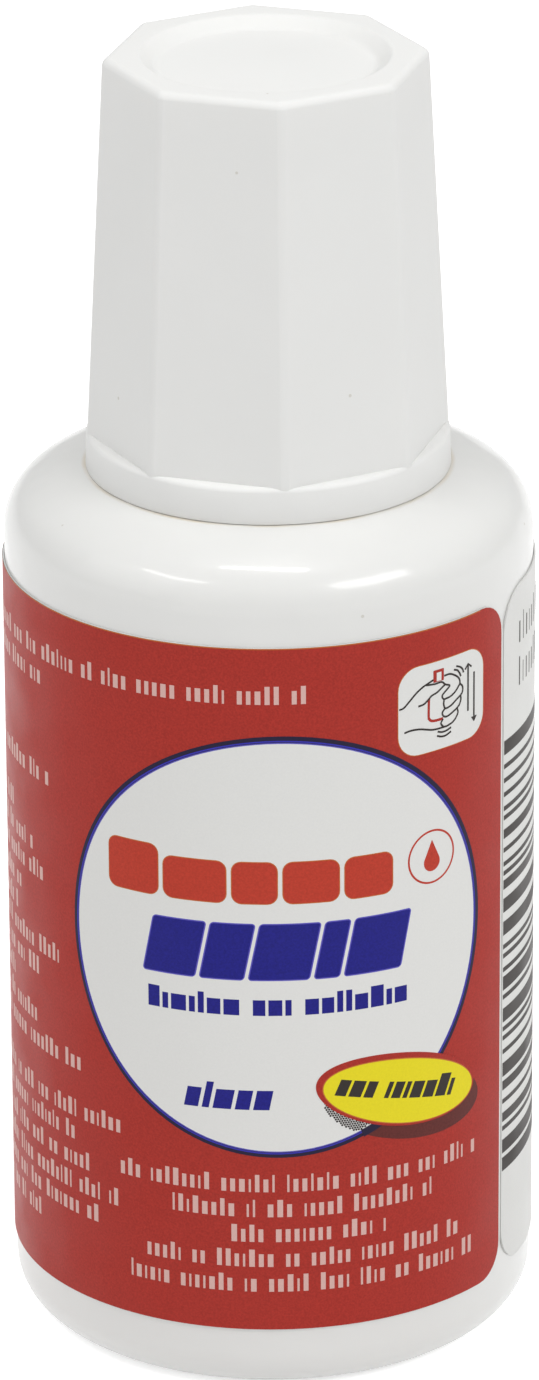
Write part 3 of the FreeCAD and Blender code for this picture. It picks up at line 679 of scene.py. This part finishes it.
# %% [markdown]
# ## The small pictures
# A ring with a drop stands at the disc's upper right. The white panel above it shows that
# the bottle is shaken: a hand round a small bottle, arcs of motion and two arrows.
# A stroke is a line of points that is thickened to a ribbon.

# %% Strokes and pictures


def ring(bm, x, z, radius, width, layer, steps=64):
    """A thin ring of short plates, side by side."""
    outer = ellipse(x, z, radius, radius, steps=steps)
    inner = ellipse(x, z, radius - width, radius - width, steps=steps)
    for step in range(steps):
        after = (step + 1) % steps
        plate(bm, [outer[step], outer[after], inner[after], inner[step]], layer)


def stroke(bm, points, width, layer):
    """A ribbon of even width along a line of points."""
    points = [Vector(point) for point in points]
    sides = []
    for i, point in enumerate(points):
        ahead = points[min(i + 1, len(points) - 1)] - points[max(i - 1, 0)]
        side = Vector((-ahead.y, ahead.x)).normalized() * (width / 2)
        sides.append((point + side, point - side))
    outline = [left for left, right in sides] + [right for left, right in reversed(sides)]
    plate(bm, outline[::-1], layer)


def arc(x, z, radius, start, end, steps=10):
    """Points on an arc, from a start angle to an end angle in degrees."""
    points = []
    for step in range(steps + 1):
        angle = math.radians(start + (end - start) * step / steps)
        points.append((x + radius * math.cos(angle), z + radius * math.sin(angle)))
    return points


def smooth(points, steps=4):
    """A finer line through the same points, as a Catmull-Rom curve."""
    line = [points[0] * 2 - points[1]] + list(points) + [points[-1] * 2 - points[-2]]
    finer = []
    for before, start, end, after in zip(line, line[1:], line[2:], line[3:]):
        for step in range(steps):
            t = step / steps
            finer.append(0.5 * (2 * start + (end - before) * t
                                + (2 * before - 5 * start + 4 * end - after) * t ** 2
                                + (3 * start - before - 3 * end + after) * t ** 3))
    finer.append(points[-1])
    return finer


RING_MIDDLE = Vector((8.93, 29.92))
ring(PRINT["word_red"], *RING_MIDDLE, 1.51, 0.11, ON_DISC)
drop = arc(RING_MIDDLE.x, RING_MIDDLE.y - 0.3, 0.52, -210, 30, steps=16)
drop.append((RING_MIDDLE.x, RING_MIDDLE.y + 0.95))
plate(PRINT["word_red"], drop, ON_DISC)

PANEL = Vector((6.86, 35.83))
PANEL_SIZE = Vector((5.83, 4.91))
for ink, wider, rounding, layer in (("orange", 0.045, 1.24, 2), ("white", 0, 1.2, 3)):
    low = PANEL - Vector((wider, wider))
    high = PANEL + PANEL_SIZE + Vector((wider, wider))
    plate(PRINT[ink], rounded_box(low.x, high.x, low.y, high.y, (rounding,) * 4), layer)


def panel_line(ink, width, layer, *points):
    """A smooth line through points given from the panel's lower left corner."""
    stroke(PRINT[ink], smooth([PANEL + Vector(point) for point in points]), width, layer)


# The bottle in the hand, whose right side the fingers cover
panel_line("red", 0.15, 4, (1.87, 3.0), (1.85, 2.0), (1.9, 1.82), (2.05, 1.7), (2.35, 1.65), (2.8, 1.65))
plate(PRINT["red"], rounded_box(PANEL.x + 2.15, PANEL.x + 2.85, PANEL.y + 3.78, PANEL.y + 4.45,
                                (0.04,) * 4, 2), 4)
plate(PRINT["white"], rounded_box(PANEL.x + 2.37, PANEL.x + 2.68, PANEL.y + 3.82, PANEL.y + 4.29,
                                  (0,) * 4), 5)

# The wrist, the thumb and the four fingers, then the arcs of motion
HAND_LINES = (
    ((0.05, 2.75), (0.3, 2.8), (0.6, 3.05), (1.05, 3.45), (1.45, 3.7), (1.7, 3.8), (2.15, 3.95)),
    ((1.7, 3.76), (2.25, 3.7), (2.7, 3.7), (2.95, 3.5), (3.2, 3.4), (3.22, 3.3), (2.8, 3.0),
     (2.74, 2.85), (2.85, 2.7), (3.0, 2.7), (3.35, 2.75), (3.7, 2.95), (3.98, 3.25)),
    ((2.95, 3.5), (2.75, 3.4), (2.4, 3.2), (2.05, 3.1), (1.85, 2.95), (1.55, 2.75), (1.2, 2.7)),
    ((2.88, 4.0), (3.25, 4.0), (3.55, 3.87), (3.85, 3.65), (3.97, 3.45), (4.0, 3.25), (4.15, 3.1),
     (4.2, 2.9), (4.15, 2.7), (4.05, 2.6), (4.06, 2.35), (3.95, 2.1), (3.8, 1.95), (3.85, 1.7),
     (3.7, 1.45), (3.45, 1.25), (3.1, 1.16)),
    ((2.87, 2.68), (2.84, 2.45), (2.9, 2.22), (3.0, 2.15), (3.35, 2.22), (3.7, 2.42), (4.03, 2.6)),
    ((2.9, 2.14), (2.75, 1.98), (2.8, 1.8), (2.95, 1.7), (3.15, 1.7), (3.5, 1.83), (3.8, 1.97)),
    ((2.8, 1.62), (2.66, 1.42), (2.75, 1.25), (2.9, 1.15)),
    ((0.35, 1.4), (0.65, 1.45), (1.0, 1.45), (1.35, 1.4), (1.7, 1.3), (2.05, 1.2), (2.4, 1.16),
     (3.1, 1.15)),
    ((3.55, 4.15), (3.8, 4.05), (3.96, 3.85), (4.05, 3.65)),
    ((3.72, 4.3), (4.0, 4.18), (4.18, 4.0), (4.25, 3.8)),
    ((2.45, 1.0), (2.7, 0.91), (3.0, 0.9), (3.35, 1.0)),
    ((2.4, 0.77), (2.7, 0.66), (3.0, 0.65), (3.35, 0.77)),
)
for points in HAND_LINES:
    panel_line("black", 0.1, 6, *points)

# The arrow up, its head, and the arrow down
for width, layer, points in (
        (0.11, 6, ((4.6, 1.55), (4.6, 4.12))), (0.1, 7, ((4.37, 3.92), (4.6, 4.18), (4.86, 3.95))),
        (0.11, 6, ((5.07, 3.6), (5.07, 1.05)))):
    stroke(PRINT["black"], [PANEL + Vector(point) for point in points], width, layer)
arrow_head = [PANEL + Vector(point) for point in ((4.85, 1.12), (5.07, 0.82), (5.29, 1.12))]
plate(PRINT["black"], arrow_head, 7)
print("lines of the hand:", len(HAND_LINES))

# %% [markdown]
# ## The yellow badge
# A yellow ellipse with a red outline leans over the disc's lower right edge. Its shadow
# is printed solid on the red field, and as a halftone of small dots on the white disc.

# %% Lay out the badge

BADGE = Vector((7.13, 17.1))
BADGE_AXES = Vector((4.94, 2.07))
BADGE_TILT = -12.0
SHADOW = BADGE + Vector((0.4, -0.85))
UNDER_DISC = 2.5
YELLOW = BADGE + Vector((0.12, -0.12))
YELLOW_AXES = BADGE_AXES - Vector((0.28, 0.27))

plate(PRINT["shadow"], ellipse(*SHADOW, *BADGE_AXES, BADGE_TILT), UNDER_DISC)
plate(PRINT["red"], ellipse(*BADGE, *BADGE_AXES, BADGE_TILT), ON_DISC + 2)
for ink, wider, layer in (("orange", 0.06, ON_DISC + 3), ("yellow", 0, ON_DISC + 4)):
    axes = YELLOW_AXES + Vector((wider, wider))
    plate(PRINT[ink], ellipse(*YELLOW, *axes, BADGE_TILT), layer)


def within(spot, center, share=1.0):
    """Whether a spot lies in the badge's ellipse, moved to a centre and scaled by a share."""
    local = Matrix.Rotation(math.radians(-BADGE_TILT), 2) @ (spot - center)
    return (local.x / BADGE_AXES.x) ** 2 + (local.y / BADGE_AXES.y) ** 2 < share ** 2


DOT_PITCH = 0.14
DOT_RADIUS = 0.065
DOT_ROW = 0.87
dots = 0
for column in range(-40, 20):
    for row in range(-20, 20):
        spot = SHADOW + Vector((column + 0.5 * (row % 2), row * DOT_ROW)) * DOT_PITCH
        on_disc = (spot - Vector(DISC)).length < DISC_RADIUS - 0.05
        if on_disc and within(spot, SHADOW) and not within(spot, BADGE, 0.99):
            plate(PRINT["black"], ellipse(*spot, DOT_RADIUS, DOT_RADIUS, steps=6), ON_DISC)
            dots += 1

# Where the shadow crosses the disc's rim it is nearly black
shaded = []
for step in range(720):
    angle = math.radians(step / 2)
    outward = Vector((math.cos(angle), math.sin(angle)))
    if within(Vector(DISC) + outward * (DISC_RADIUS + 0.2), SHADOW):
        shaded.append(outward)
edge = [Vector(DISC) + outward * (NAVY_RADIUS + 0.04) for outward in shaded]
edge += [Vector(DISC) + outward * (DISC_RADIUS - 0.02) for outward in reversed(shaded)]
plate(PRINT["navy"], edge, ON_DISC + 1)
small_row(PRINT["black"], ON_DISC + 5, BADGE.x - 3.85, BADGE.x + 3.9, BADGE.y - 0.5, 1.25, rng,
          slope=ITALIC, center=BADGE, degrees=BADGE_TILT, block=0.6, gap=0.15, space=0.5)
print("halftone dots:", dots)

# %% [markdown]
# ## The bars
# The white end carries bars that lie along the bottle, as retail bars do on a thin
# bottle. Their widths are made up: one to three units each, from the seeded generator.

# %% Lay out the bars

BARS_LEFT = SHEET_LEFT + 0.08
BARS_RIGHT = SHEET_LEFT + 14.5
BARS_BOTTOM = 9.7
BARS_TOP = 34.75
UNIT = 0.264

bars = 0
level = BARS_BOTTOM
while level < BARS_TOP - UNIT:
    bar = UNIT * rng.choice((1, 1, 1, 2, 3))
    top = min(level + bar, BARS_TOP)
    plate(PRINT["black"], rounded_box(BARS_LEFT, BARS_RIGHT, level, top, (0,) * 4), 2)
    level += bar + UNIT * rng.choice((1, 1, 2, 2))
    bars += 1
for foot in (39.4, 37.0):
    small_row(PRINT["black"], 2, SHEET_LEFT + 1.95, SHEET_LEFT + 10, foot, 1.6, rng, block=0.13, gap=0.5)
print("bars:", bars)

# %% [markdown]
# ## Bend the sheet
# Now every ink is bent. The film itself is the piece that stands for the frame's
# label, and the inks ride with it.

# %% Bend and finish the label

for ink, made in PRINT.items():
    bend_round(made)
    piece = finish_piece(f"label_{ink}", made, INKS[ink], "bottle", sharp=30)
    if ink == "film":
        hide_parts("label")

# %% [markdown]
# ## The cap's outside
# The cap is an octagon that leans in towards its top, with soft edges, on a plain round
# ring. A circle of eight points is extruded upwards and its top ring scaled down, and the
# edges are bevelled. The hollow inside is a second, smaller octagon, so the shell has the
# real wall. The round recess in the top is turned, like the ring.

# %% Build the octagonal shell

RING_TOP = CAP_BOTTOM + 1.89
CORNER_BASE = 9.54
CORNER_TOP = 8.48
EDGE_ROUND = 0.7
RIM_ROUND = 0.4
CAP_WALL = 1.0
CAP_PLATE = 1.2
RECESS_RADIUS = 6.48
RECESS_FLOOR = 5.75
RECESS_DEPTH = 0.64
CEILING = CAP_TOP - RECESS_DEPTH - CAP_PLATE
CAP_TURN = math.radians(5.1)
LEAN = (CORNER_BASE - CORNER_TOP) / (CAP_TOP - RING_TOP)


def edges_between(verts):
    """Edges that join two of the given points, each once and in a fixed order."""
    found = (edge for vert in verts for edge in vert.link_edges if edge.other_vert(vert) in verts)
    return list(dict.fromkeys(found))


def edges_at(bm, height):
    """Edges that lie at one height, in mm."""
    return [edge for edge in bm.edges if all(abs(vert.co.z - height * MM) < 1e-7 for vert in edge.verts)]


def octagon_ring(bm, radius, height):
    """Eight points in a ring, with one on the X axis."""
    made = bmesh.ops.create_circle(bm, segments=8, radius=radius * MM,
                                   matrix=Matrix.Translation((0, 0, height * MM)))
    return made["verts"]


def raise_ring(bm, verts, radius, height):
    """Extrude a ring's edges to a new radius and height, and give the new ring's points."""
    made = bmesh.ops.extrude_edge_only(bm, edges=edges_between(verts))["geom"]
    fresh = [item for item in made if isinstance(item, bmesh.types.BMVert)]
    for vert in fresh:
        angle = math.atan2(vert.co.y, vert.co.x)
        vert.co = Vector((radius * math.cos(angle), radius * math.sin(angle), height)) * MM
    return fresh


bm = bmesh.new()
shell_foot = CAP_BOTTOM + 0.02
low_ring = octagon_ring(bm, CORNER_BASE - 0.12, shell_foot)
base_ring = raise_ring(bm, low_ring, CORNER_BASE, RING_TOP - 0.25)
top_ring = raise_ring(bm, base_ring, CORNER_TOP, CAP_TOP)
upright = [edge for edge in bm.edges if {*edge.verts} & {*top_ring} and {*edge.verts} & {*base_ring}]
bmesh.ops.bevel(bm, geom=upright, offset=EDGE_ROUND * math.tan(math.pi / 8) * MM, offset_type="OFFSET",
                segments=8, profile=0.5, affect="EDGES", material=-1, clamp_overlap=False)
rim = edges_at(bm, CAP_TOP)
bmesh.ops.contextual_create(bm, geom=rim)
bmesh.ops.bevel(bm, geom=rim, offset=RIM_ROUND * MM, offset_type="OFFSET", segments=8, profile=0.5,
                affect="EDGES", material=-1, clamp_overlap=False)
flat_faces = [face for face in bm.faces if abs(face.normal.z) > 0.99]
flat_top = max(flat_faces, key=lambda face: face.calc_area())
hole_edges = list(flat_top.edges)
bmesh.ops.delete(bm, geom=[flat_top], context="FACES_ONLY")
print("octagon:", len(bm.faces), "faces,", len(hole_edges), "edges round the top")

# %% [markdown]
# The recess is joined to the flat rim: a circle of 96 points is filled against the rim's
# inner edge, and then extruded inwards ring by ring, down the recess's soft wall to its
# slightly domed floor.

# %% Sink the recess

RECESS_MARGIN = 0.35
circle = bmesh.ops.create_circle(bm, segments=96, radius=(RECESS_RADIUS + RECESS_MARGIN) * MM,
                                 matrix=Matrix.Translation((0, 0, CAP_TOP * MM)))["verts"]
bmesh.ops.triangle_fill(bm, edges=hole_edges + edges_between(circle), use_beauty=True)
recess_profile = rounded_profile([
    (RECESS_RADIUS + RECESS_MARGIN, CAP_TOP),
    (RECESS_RADIUS, CAP_TOP, 0.3),
    (RECESS_FLOOR, CAP_TOP - RECESS_DEPTH, 0.55),
    (0.4, CAP_TOP - RECESS_DEPTH + 0.2),
], steps=6)
ring_verts = circle
for radius, height in recess_profile[1:]:
    ring_verts = raise_ring(bm, ring_verts, radius, height)
bmesh.ops.contextual_create(bm, geom=edges_between(ring_verts))
print("with its recess:", len(bm.faces), "faces")

# %% [markdown]
# The hollow starts as a smaller octagon at the foot. The two rings at the foot are bridged
# into the wall's lower edge, and the inner one is raised to the ceiling and closed.

# %% The hollow

inner_radius = CORNER_BASE - CAP_WALL / math.cos(math.pi / 8)
inner_foot = octagon_ring(bm, inner_radius, shell_foot)
bmesh.ops.bridge_loops(bm, edges=edges_at(bm, shell_foot))
ceiling = raise_ring(bm, inner_foot, inner_radius - LEAN * (CEILING - shell_foot), CEILING)
bmesh.ops.contextual_create(bm, geom=edges_between(ceiling))
bmesh.ops.rotate(bm, verts=bm.verts, cent=(0, 0, 0), matrix=Matrix.Rotation(CAP_TURN, 3, "Z"))
cap = finish_piece("cap_shell", bm, CAP_WHITE, "cap", sharp=40)
weigh_normals(cap)
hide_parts("cap")

# %% [markdown]
# ## The cap's ring and its core
# The ring is turned, and ends a hair above the shoulder. Looked at from below, the cap
# shows the threaded core that screws onto the neck. It is one turned piece: a flange that
# closes the octagon's lower end, the sleeve, the plate over the washer, and the socket
# that grips the stem. Its thread is the neck's, raised by half a lead so that the ridges
# lie beside each other.

# %% Ring and core

SLEEVE_BORE = NECK_RADIUS + THREAD_DEPTH + 0.25
SLEEVE_OUTSIDE = SLEEVE_BORE + 0.85
CORE_FOOT, CORE_TOP = heights_of("cap_core")
LEDGE = WASHER_TOP + 0.05
COLLAR_TOP = LEDGE + 1.45
SOCKET_MOUTH = COLLAR_TOP + 0.05
SOCKET_END = SOCKET_MOUTH + 6.2
SOCKET_BORE = 1.75
SOCKET_OUTSIDE = 2.9
COLLAR_BORE = 2.55
PLATE_TOP = SOCKET_MOUTH + 1.0
FLANGE_TOP = CORE_FOOT + 1.0
RING_FOOT = SHOULDER_TOP + 0.01
RING_BORE = 8.62
FLANGE_RADIUS = CORNER_BASE * math.cos(math.pi / 8) - CAP_WALL - 0.13


def closed_profile(corners, steps=4):
    """A rounded outline whose last corner joins its first."""
    return rounded_profile(corners + [corners[0]], steps)[:-1]


bm = bmesh.new()
spin_profile(bm, closed_profile([
    (RING_BORE, RING_FOOT),
    (RING_RADIUS, RING_FOOT, 0.03),
    (RING_RADIUS - 0.06, RING_TOP, 0.25),
    (RING_BORE, RING_TOP),
]), closed=True)
finish_piece("cap_ring", bm, CAP_WHITE, "cap")

bm = bmesh.new()
spin_profile(bm, rounded_profile([
    (0, SOCKET_END),
    (SOCKET_BORE, SOCKET_END),
    (SOCKET_BORE, SOCKET_MOUTH),
    (COLLAR_BORE, SOCKET_MOUTH),
    (COLLAR_BORE, LEDGE),
    (SLEEVE_BORE, LEDGE),
    (SLEEVE_BORE, CORE_FOOT + 0.4, 0.2),
    (SLEEVE_BORE + 0.4, CORE_FOOT, 0.1),
    (FLANGE_RADIUS, CORE_FOOT, 0.15),
    (FLANGE_RADIUS, FLANGE_TOP),
    (SLEEVE_OUTSIDE, FLANGE_TOP, 0.3),
    (SLEEVE_OUTSIDE, PLATE_TOP, 0.2),
    (SOCKET_OUTSIDE, PLATE_TOP, 0.3),
    (SOCKET_OUTSIDE, CORE_TOP, 0.1),
    (0, CORE_TOP),
], steps=4), closed=False, steps=128)
spin_thread(bm, SLEEVE_BORE + 0.2, NECK_RADIUS + 0.25,
            THREAD_START + THREAD_LEAD / 2 + THREAD_LEAD * CAP_TURN / (2 * math.pi), CAP_TURN)
core = finish_piece("threaded_core", bm, CAP_WHITE, "cap")
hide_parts("cap_core")

# %% [markdown]
# ## The brush
# The stem is turned like the bottle: a barbed head for the socket, a collar, a bead that
# keeps the washer on, and a hole for the bristles. The washer and the soft insert that
# wipes the brush are round too, so they are turned beside it.

# %% Spin the stem, the washer and the wiper

STEM_RADIUS = 1.5
COLLAR_RADIUS = 2.4
BEAD_RADIUS = STEM_RADIUS + 0.45
BEAD_TOP = WASHER_BOTTOM - 0.05
HOLE_RADIUS = 1.1
HOLE_TOP = STEM_BOTTOM + 4.8
HEAD = 1.6
BARB = 0.13
BARB_LENGTH = 0.9

stem_corners = [
    (0, HOLE_TOP),
    (HOLE_RADIUS, HOLE_TOP),
    (HOLE_RADIUS, STEM_BOTTOM, 0.08),
    (STEM_RADIUS, STEM_BOTTOM, 0.25),
    (STEM_RADIUS, BEAD_TOP - 0.7),
    (BEAD_RADIUS, BEAD_TOP - 0.52, 0.1),
    (BEAD_RADIUS, BEAD_TOP - 0.18, 0.1),
    (STEM_RADIUS, BEAD_TOP),
    (STEM_RADIUS, LEDGE),
    (COLLAR_RADIUS, LEDGE, 0.1),
    (COLLAR_RADIUS, COLLAR_TOP, 0.1),
    (HEAD, COLLAR_TOP),
]
for barb in (1, 3):
    foot = COLLAR_TOP + barb * BARB_LENGTH
    stem_corners += [(HEAD, foot), (HEAD + BARB, foot), (HEAD, foot + BARB_LENGTH)]
stem_corners += [(HEAD, STEM_TOP - 0.45), (HEAD - 0.45, STEM_TOP), (0, STEM_TOP)]
bm = bmesh.new()
spin_profile(bm, rounded_profile(stem_corners, steps=4), closed=False, steps=72)
stem = finish_piece("brush_stem", bm, STEM_WHITE, "cap")
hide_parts("stem")

WASHER_RADIUS = radius_of("cap_washer")
WASHER_BORE = STEM_RADIUS + 0.15
bm = bmesh.new()
spin_profile(bm, closed_profile([
    (WASHER_BORE, WASHER_BOTTOM),
    (WASHER_RADIUS, WASHER_BOTTOM, 0.15),
    (WASHER_RADIUS, WASHER_TOP, 0.15),
    (WASHER_BORE, WASHER_TOP),
]), closed=True, steps=96)
WASHER_FOAM = moulded_plastic("washer foam", (0.74, 0.74, 0.72), 0.6, 0.03, 0.02)
washer = finish_piece("sealing_washer", bm, WASHER_FOAM, "washer")
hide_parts("cap_washer")

SKIRT = NECK_BORE - 0.03
FLANGE = radius_of("neck_wiper")
LIP = 2.3
WIPER_BORE = 3.0
bm = bmesh.new()
spin_profile(bm, closed_profile([
    (LIP, WIPER_BOTTOM),
    (SKIRT - 0.3, WIPER_BOTTOM),
    (SKIRT, WIPER_BOTTOM + 0.6),
    (SKIRT, NECK_TOP),
    (FLANGE, NECK_TOP),
    (FLANGE, WIPER_TOP, 0.2),
    (WIPER_BORE, WIPER_TOP, 0.25),
    (WIPER_BORE, WIPER_BOTTOM + 2.9, 0.5),
    (LIP, WIPER_BOTTOM + 0.7, 0.3),
]), closed=True, steps=96)
wiper = finish_piece("wiper_insert", bm, WIPER_CLEAR, "bottle")
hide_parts("neck_wiper")

# %% [markdown]
# The tuft is real filaments. Each is a thin five-sided thread, extruded level by level
# from its tip, that follows the tuft's outline from its own place in it. The golden angle
# spreads them evenly.

# %% Place the bristles

# Heights and radii of the tuft, from its tip to its fold in the stem
TUFT_OUTLINE = ((TUFT_TIP, 0.75), (TUFT_TIP + 1.0, 1.02), (9.6, 1.6), (12.5, 1.5),
                (STEM_BOTTOM, 1.04), (TUFT_TOP, 1.04))


def tuft_radius(height):
    """Outside radius of the tuft at a height, in mm."""
    for (low, r_low), (high, r_high) in zip(TUFT_OUTLINE, TUFT_OUTLINE[1:]):
        if height <= high:
            share = max(0.0, (height - low) / (high - low))
            return r_low + (r_high - r_low) * share
    return TUFT_OUTLINE[-1][1]


FILAMENT = 0.1
FILAMENTS = 280
LEVELS = 10
SWAY = 0.07
GOLDEN = math.pi * (3 - math.sqrt(5))

bm = bmesh.new()
for number in range(FILAMENTS):
    share = math.sqrt((number + 0.5) / FILAMENTS)
    around = number * GOLDEN
    tip = TUFT_TIP + 0.05 + 0.9 * share ** 3 + 0.25 * rng.random()
    sway = Vector((rng.uniform(-1, 1), rng.uniform(-1, 1))) * SWAY
    circle = bmesh.ops.create_circle(bm, cap_ends=True, segments=5, radius=FILAMENT / 2 * MM)
    level_verts = circle["verts"]
    end_face = level_verts[0].link_faces[0]
    middle = Vector((0, 0, 0))
    for level in range(LEVELS + 1):
        if level:
            made = bmesh.ops.extrude_face_region(bm, geom=[end_face])["geom"]
            level_verts = [item for item in made if isinstance(item, bmesh.types.BMVert)]
            end_face = next(item for item in made if isinstance(item, bmesh.types.BMFace))
        height = tip + (TUFT_TOP - 0.1 - tip) * level / LEVELS
        reach = share * (tuft_radius(height) - FILAMENT)
        droop = max(0.0, (STEM_BOTTOM - height) / STEM_BOTTOM)
        last_middle = middle
        middle = Vector((reach * math.cos(around) + sway.x * droop,
                         reach * math.sin(around) + sway.y * droop, height)) * MM
        bmesh.ops.translate(bm, verts=level_verts, vec=middle - last_middle)
NYLON, tree, shader = new_material("bristle nylon")
link(tree, ramp(tree, noise(tree, pattern_coordinates(tree, (1, 1, 0.05)), 0.12, 2),
                [(0.3, (0.66, 0.64, 0.57)), (0.7, (0.82, 0.81, 0.75))]), shader.inputs["Base Color"])
shader.inputs["Roughness"].default_value = 0.35
tuft = finish_piece("bristle_tuft", bm, NYLON, "cap")
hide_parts("bristles")

# %% [markdown]
# ## The metal pieces
# The mixing ball is polished steel and the staple that holds the tuft is drawn brass. The
# ball is a subdivided icosahedron. The staple is a plain flat piece, so the frame's own
# node is right as it is and only gets its finish.

# %% Ball and staple


def bright_metal(name, color, roughness):
    """Metal with a faintly drawn surface."""
    material, tree, shader = new_material(name)
    streaks = noise(tree, pattern_coordinates(tree, (1, 1, 0.1)), 0.2, 3)
    link(tree, ramp(tree, streaks, [(0.3, shade(color, 0.9)), (0.7, color)]), shader.inputs["Base Color"])
    link(tree, to_range(tree, streaks, roughness * 0.7, roughness * 1.3), shader.inputs["Roughness"])
    shader.inputs["Metallic"].default_value = 1.0
    return material


ball_low, ball_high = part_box("mixing_ball")
bm = bmesh.new()
bmesh.ops.create_icosphere(bm, subdivisions=4, radius=(ball_high.z - ball_low.z) / 2,
                           matrix=Matrix.Translation((ball_low + ball_high) / 2))
ball = finish_piece("steel_ball", bm, bright_metal("ball steel", (0.62, 0.62, 0.63), 0.15),
                    "bottle")
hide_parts("mixing_ball")

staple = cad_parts["bristle_anchor"]
staple.data.materials.clear()
staple.data.materials.append(bright_metal("staple brass", (0.72, 0.52, 0.24), 0.25))

# %% [markdown]
# ## Floor and light
# The photograph is a product shot on pure white. The floor shows white to the camera by
# a little light of its own, and still takes the bottle's shadow. The world is an even
# white, and four soft lamps give the shoulder its bright streaks and the cap its modelling.

# %% Floor, world and lamps

FLOOR_REACH = 3
FLOOR_GLOW = 0.62
WORLD_LIGHT = 0.54

bm = bmesh.new()
bmesh.ops.create_grid(bm, x_segments=1, y_segments=1, size=FLOOR_REACH)
floor_mesh = bpy.data.meshes.new("floor")
bm.to_mesh(floor_mesh)
bm.free()
floor = bpy.data.objects.new("floor", floor_mesh)
bpy.context.scene.collection.objects.link(floor)

FLOOR, tree, shader = new_material("white floor")
shader.inputs["Base Color"].default_value = (0.8, 0.8, 0.8, 1)
shader.inputs["Roughness"].default_value = 0.9
shader.inputs["Specular IOR Level"].default_value = 0.0
paths = tree.nodes.new("ShaderNodeLightPath")
seen = math_node(tree, "MAXIMUM", paths.outputs["Is Camera Ray"], paths.outputs["Is Glossy Ray"])
shader.inputs["Emission Color"].default_value = (1, 1, 1, 1)
link(tree, math_node(tree, "MULTIPLY", seen, FLOOR_GLOW), shader.inputs["Emission Strength"])
floor_mesh.materials.append(FLOOR)

world = bpy.data.worlds.new("white studio")
bpy.context.scene.world = world
world.use_nodes = True
tree = world.node_tree
light = tree.nodes["Background"]
light.inputs["Color"].default_value = (1, 1, 1, 1)
light.inputs["Strength"].default_value = WORLD_LIGHT
backdrop = tree.nodes.new("ShaderNodeBackground")
backdrop.inputs["Strength"].default_value = 1.0
choice = tree.nodes.new("ShaderNodeMixShader")
paths = tree.nodes.new("ShaderNodeLightPath")
link(tree, paths.outputs["Is Camera Ray"], choice.inputs["Fac"])
link(tree, light.outputs[0], choice.inputs[1])
link(tree, backdrop.outputs[0], choice.inputs[2])
link(tree, choice.outputs[0], tree.nodes["World Output"].inputs["Surface"])


def soft_lamp(name, place, aim, size, power):
    """A rectangular softbox, in metres and watts."""
    data = bpy.data.lights.new(name, "AREA")
    data.shape = "RECTANGLE"
    data.size, data.size_y = size
    data.energy = power
    lamp = bpy.data.objects.new(name, data)
    lamp.location = place
    lamp.rotation_euler = (Vector(aim) - Vector(place)).to_track_quat("-Z", "Y").to_euler()
    bpy.context.scene.collection.objects.link(lamp)


MIDDLE = (0, 0, 35 * MM)
soft_lamp("top softbox", (-0.01, -0.03, 0.55), MIDDLE, (0.20, 0.05), 0.60)
soft_lamp("left softbox", (-0.30, -0.22, 0.50), MIDDLE, (0.26, 0.05), 0.36)
soft_lamp("left fill", (-0.41, -0.15, 0.27), MIDDLE, (0.40, 0.40), 0.27)
soft_lamp("right softbox", (0.38, -0.30, 0.42), MIDDLE, (0.34, 0.17), 1.2)
print("lamps:", len(bpy.data.lights))

# %% [markdown]
# ## Camera
# The camera stands 44 cm away and looks down by 22 degrees. Its lens and place were
# fitted to the bottle's outline in the photograph, and it leans by a third of a degree.

# %% Set the camera

CAMERA_DISTANCE = 442.4
CAMERA_ANGLE = math.radians(22.315)
CAMERA_AIM = Vector((-0.017, 0, 34.68)) * MM
CAMERA_LEAN = -0.0062
FRAME_LONG_SIDE = 1380
FOCAL_PIXELS = 8367

camera_data = bpy.data.cameras.new("camera")
camera_data.sensor_width = 36
camera_data.lens = FOCAL_PIXELS * camera_data.sensor_width / FRAME_LONG_SIDE
camera_data.clip_start = 0.01
camera = bpy.data.objects.new("camera", camera_data)
back = Vector((0, -math.cos(CAMERA_ANGLE), math.sin(CAMERA_ANGLE)))
camera.location = CAMERA_AIM + back * CAMERA_DISTANCE * MM
look = (-back).to_track_quat("-Z", "Y")
camera.rotation_mode = "QUATERNION"
camera.rotation_quaternion = look @ Quaternion((0, 0, 1), CAMERA_LEAN)
bpy.context.scene.collection.objects.link(camera)
bpy.context.scene.camera = camera
bpy.context.scene.view_settings.view_transform = "Standard"
print(f"camera {CAMERA_DISTANCE} mm away, with a lens of {camera_data.lens:.0f} mm")

# %% [markdown]
# ## The pieces
# The number of pieces that were made is printed.

# %% Count the pieces

print("pieces:", len(PIECES))
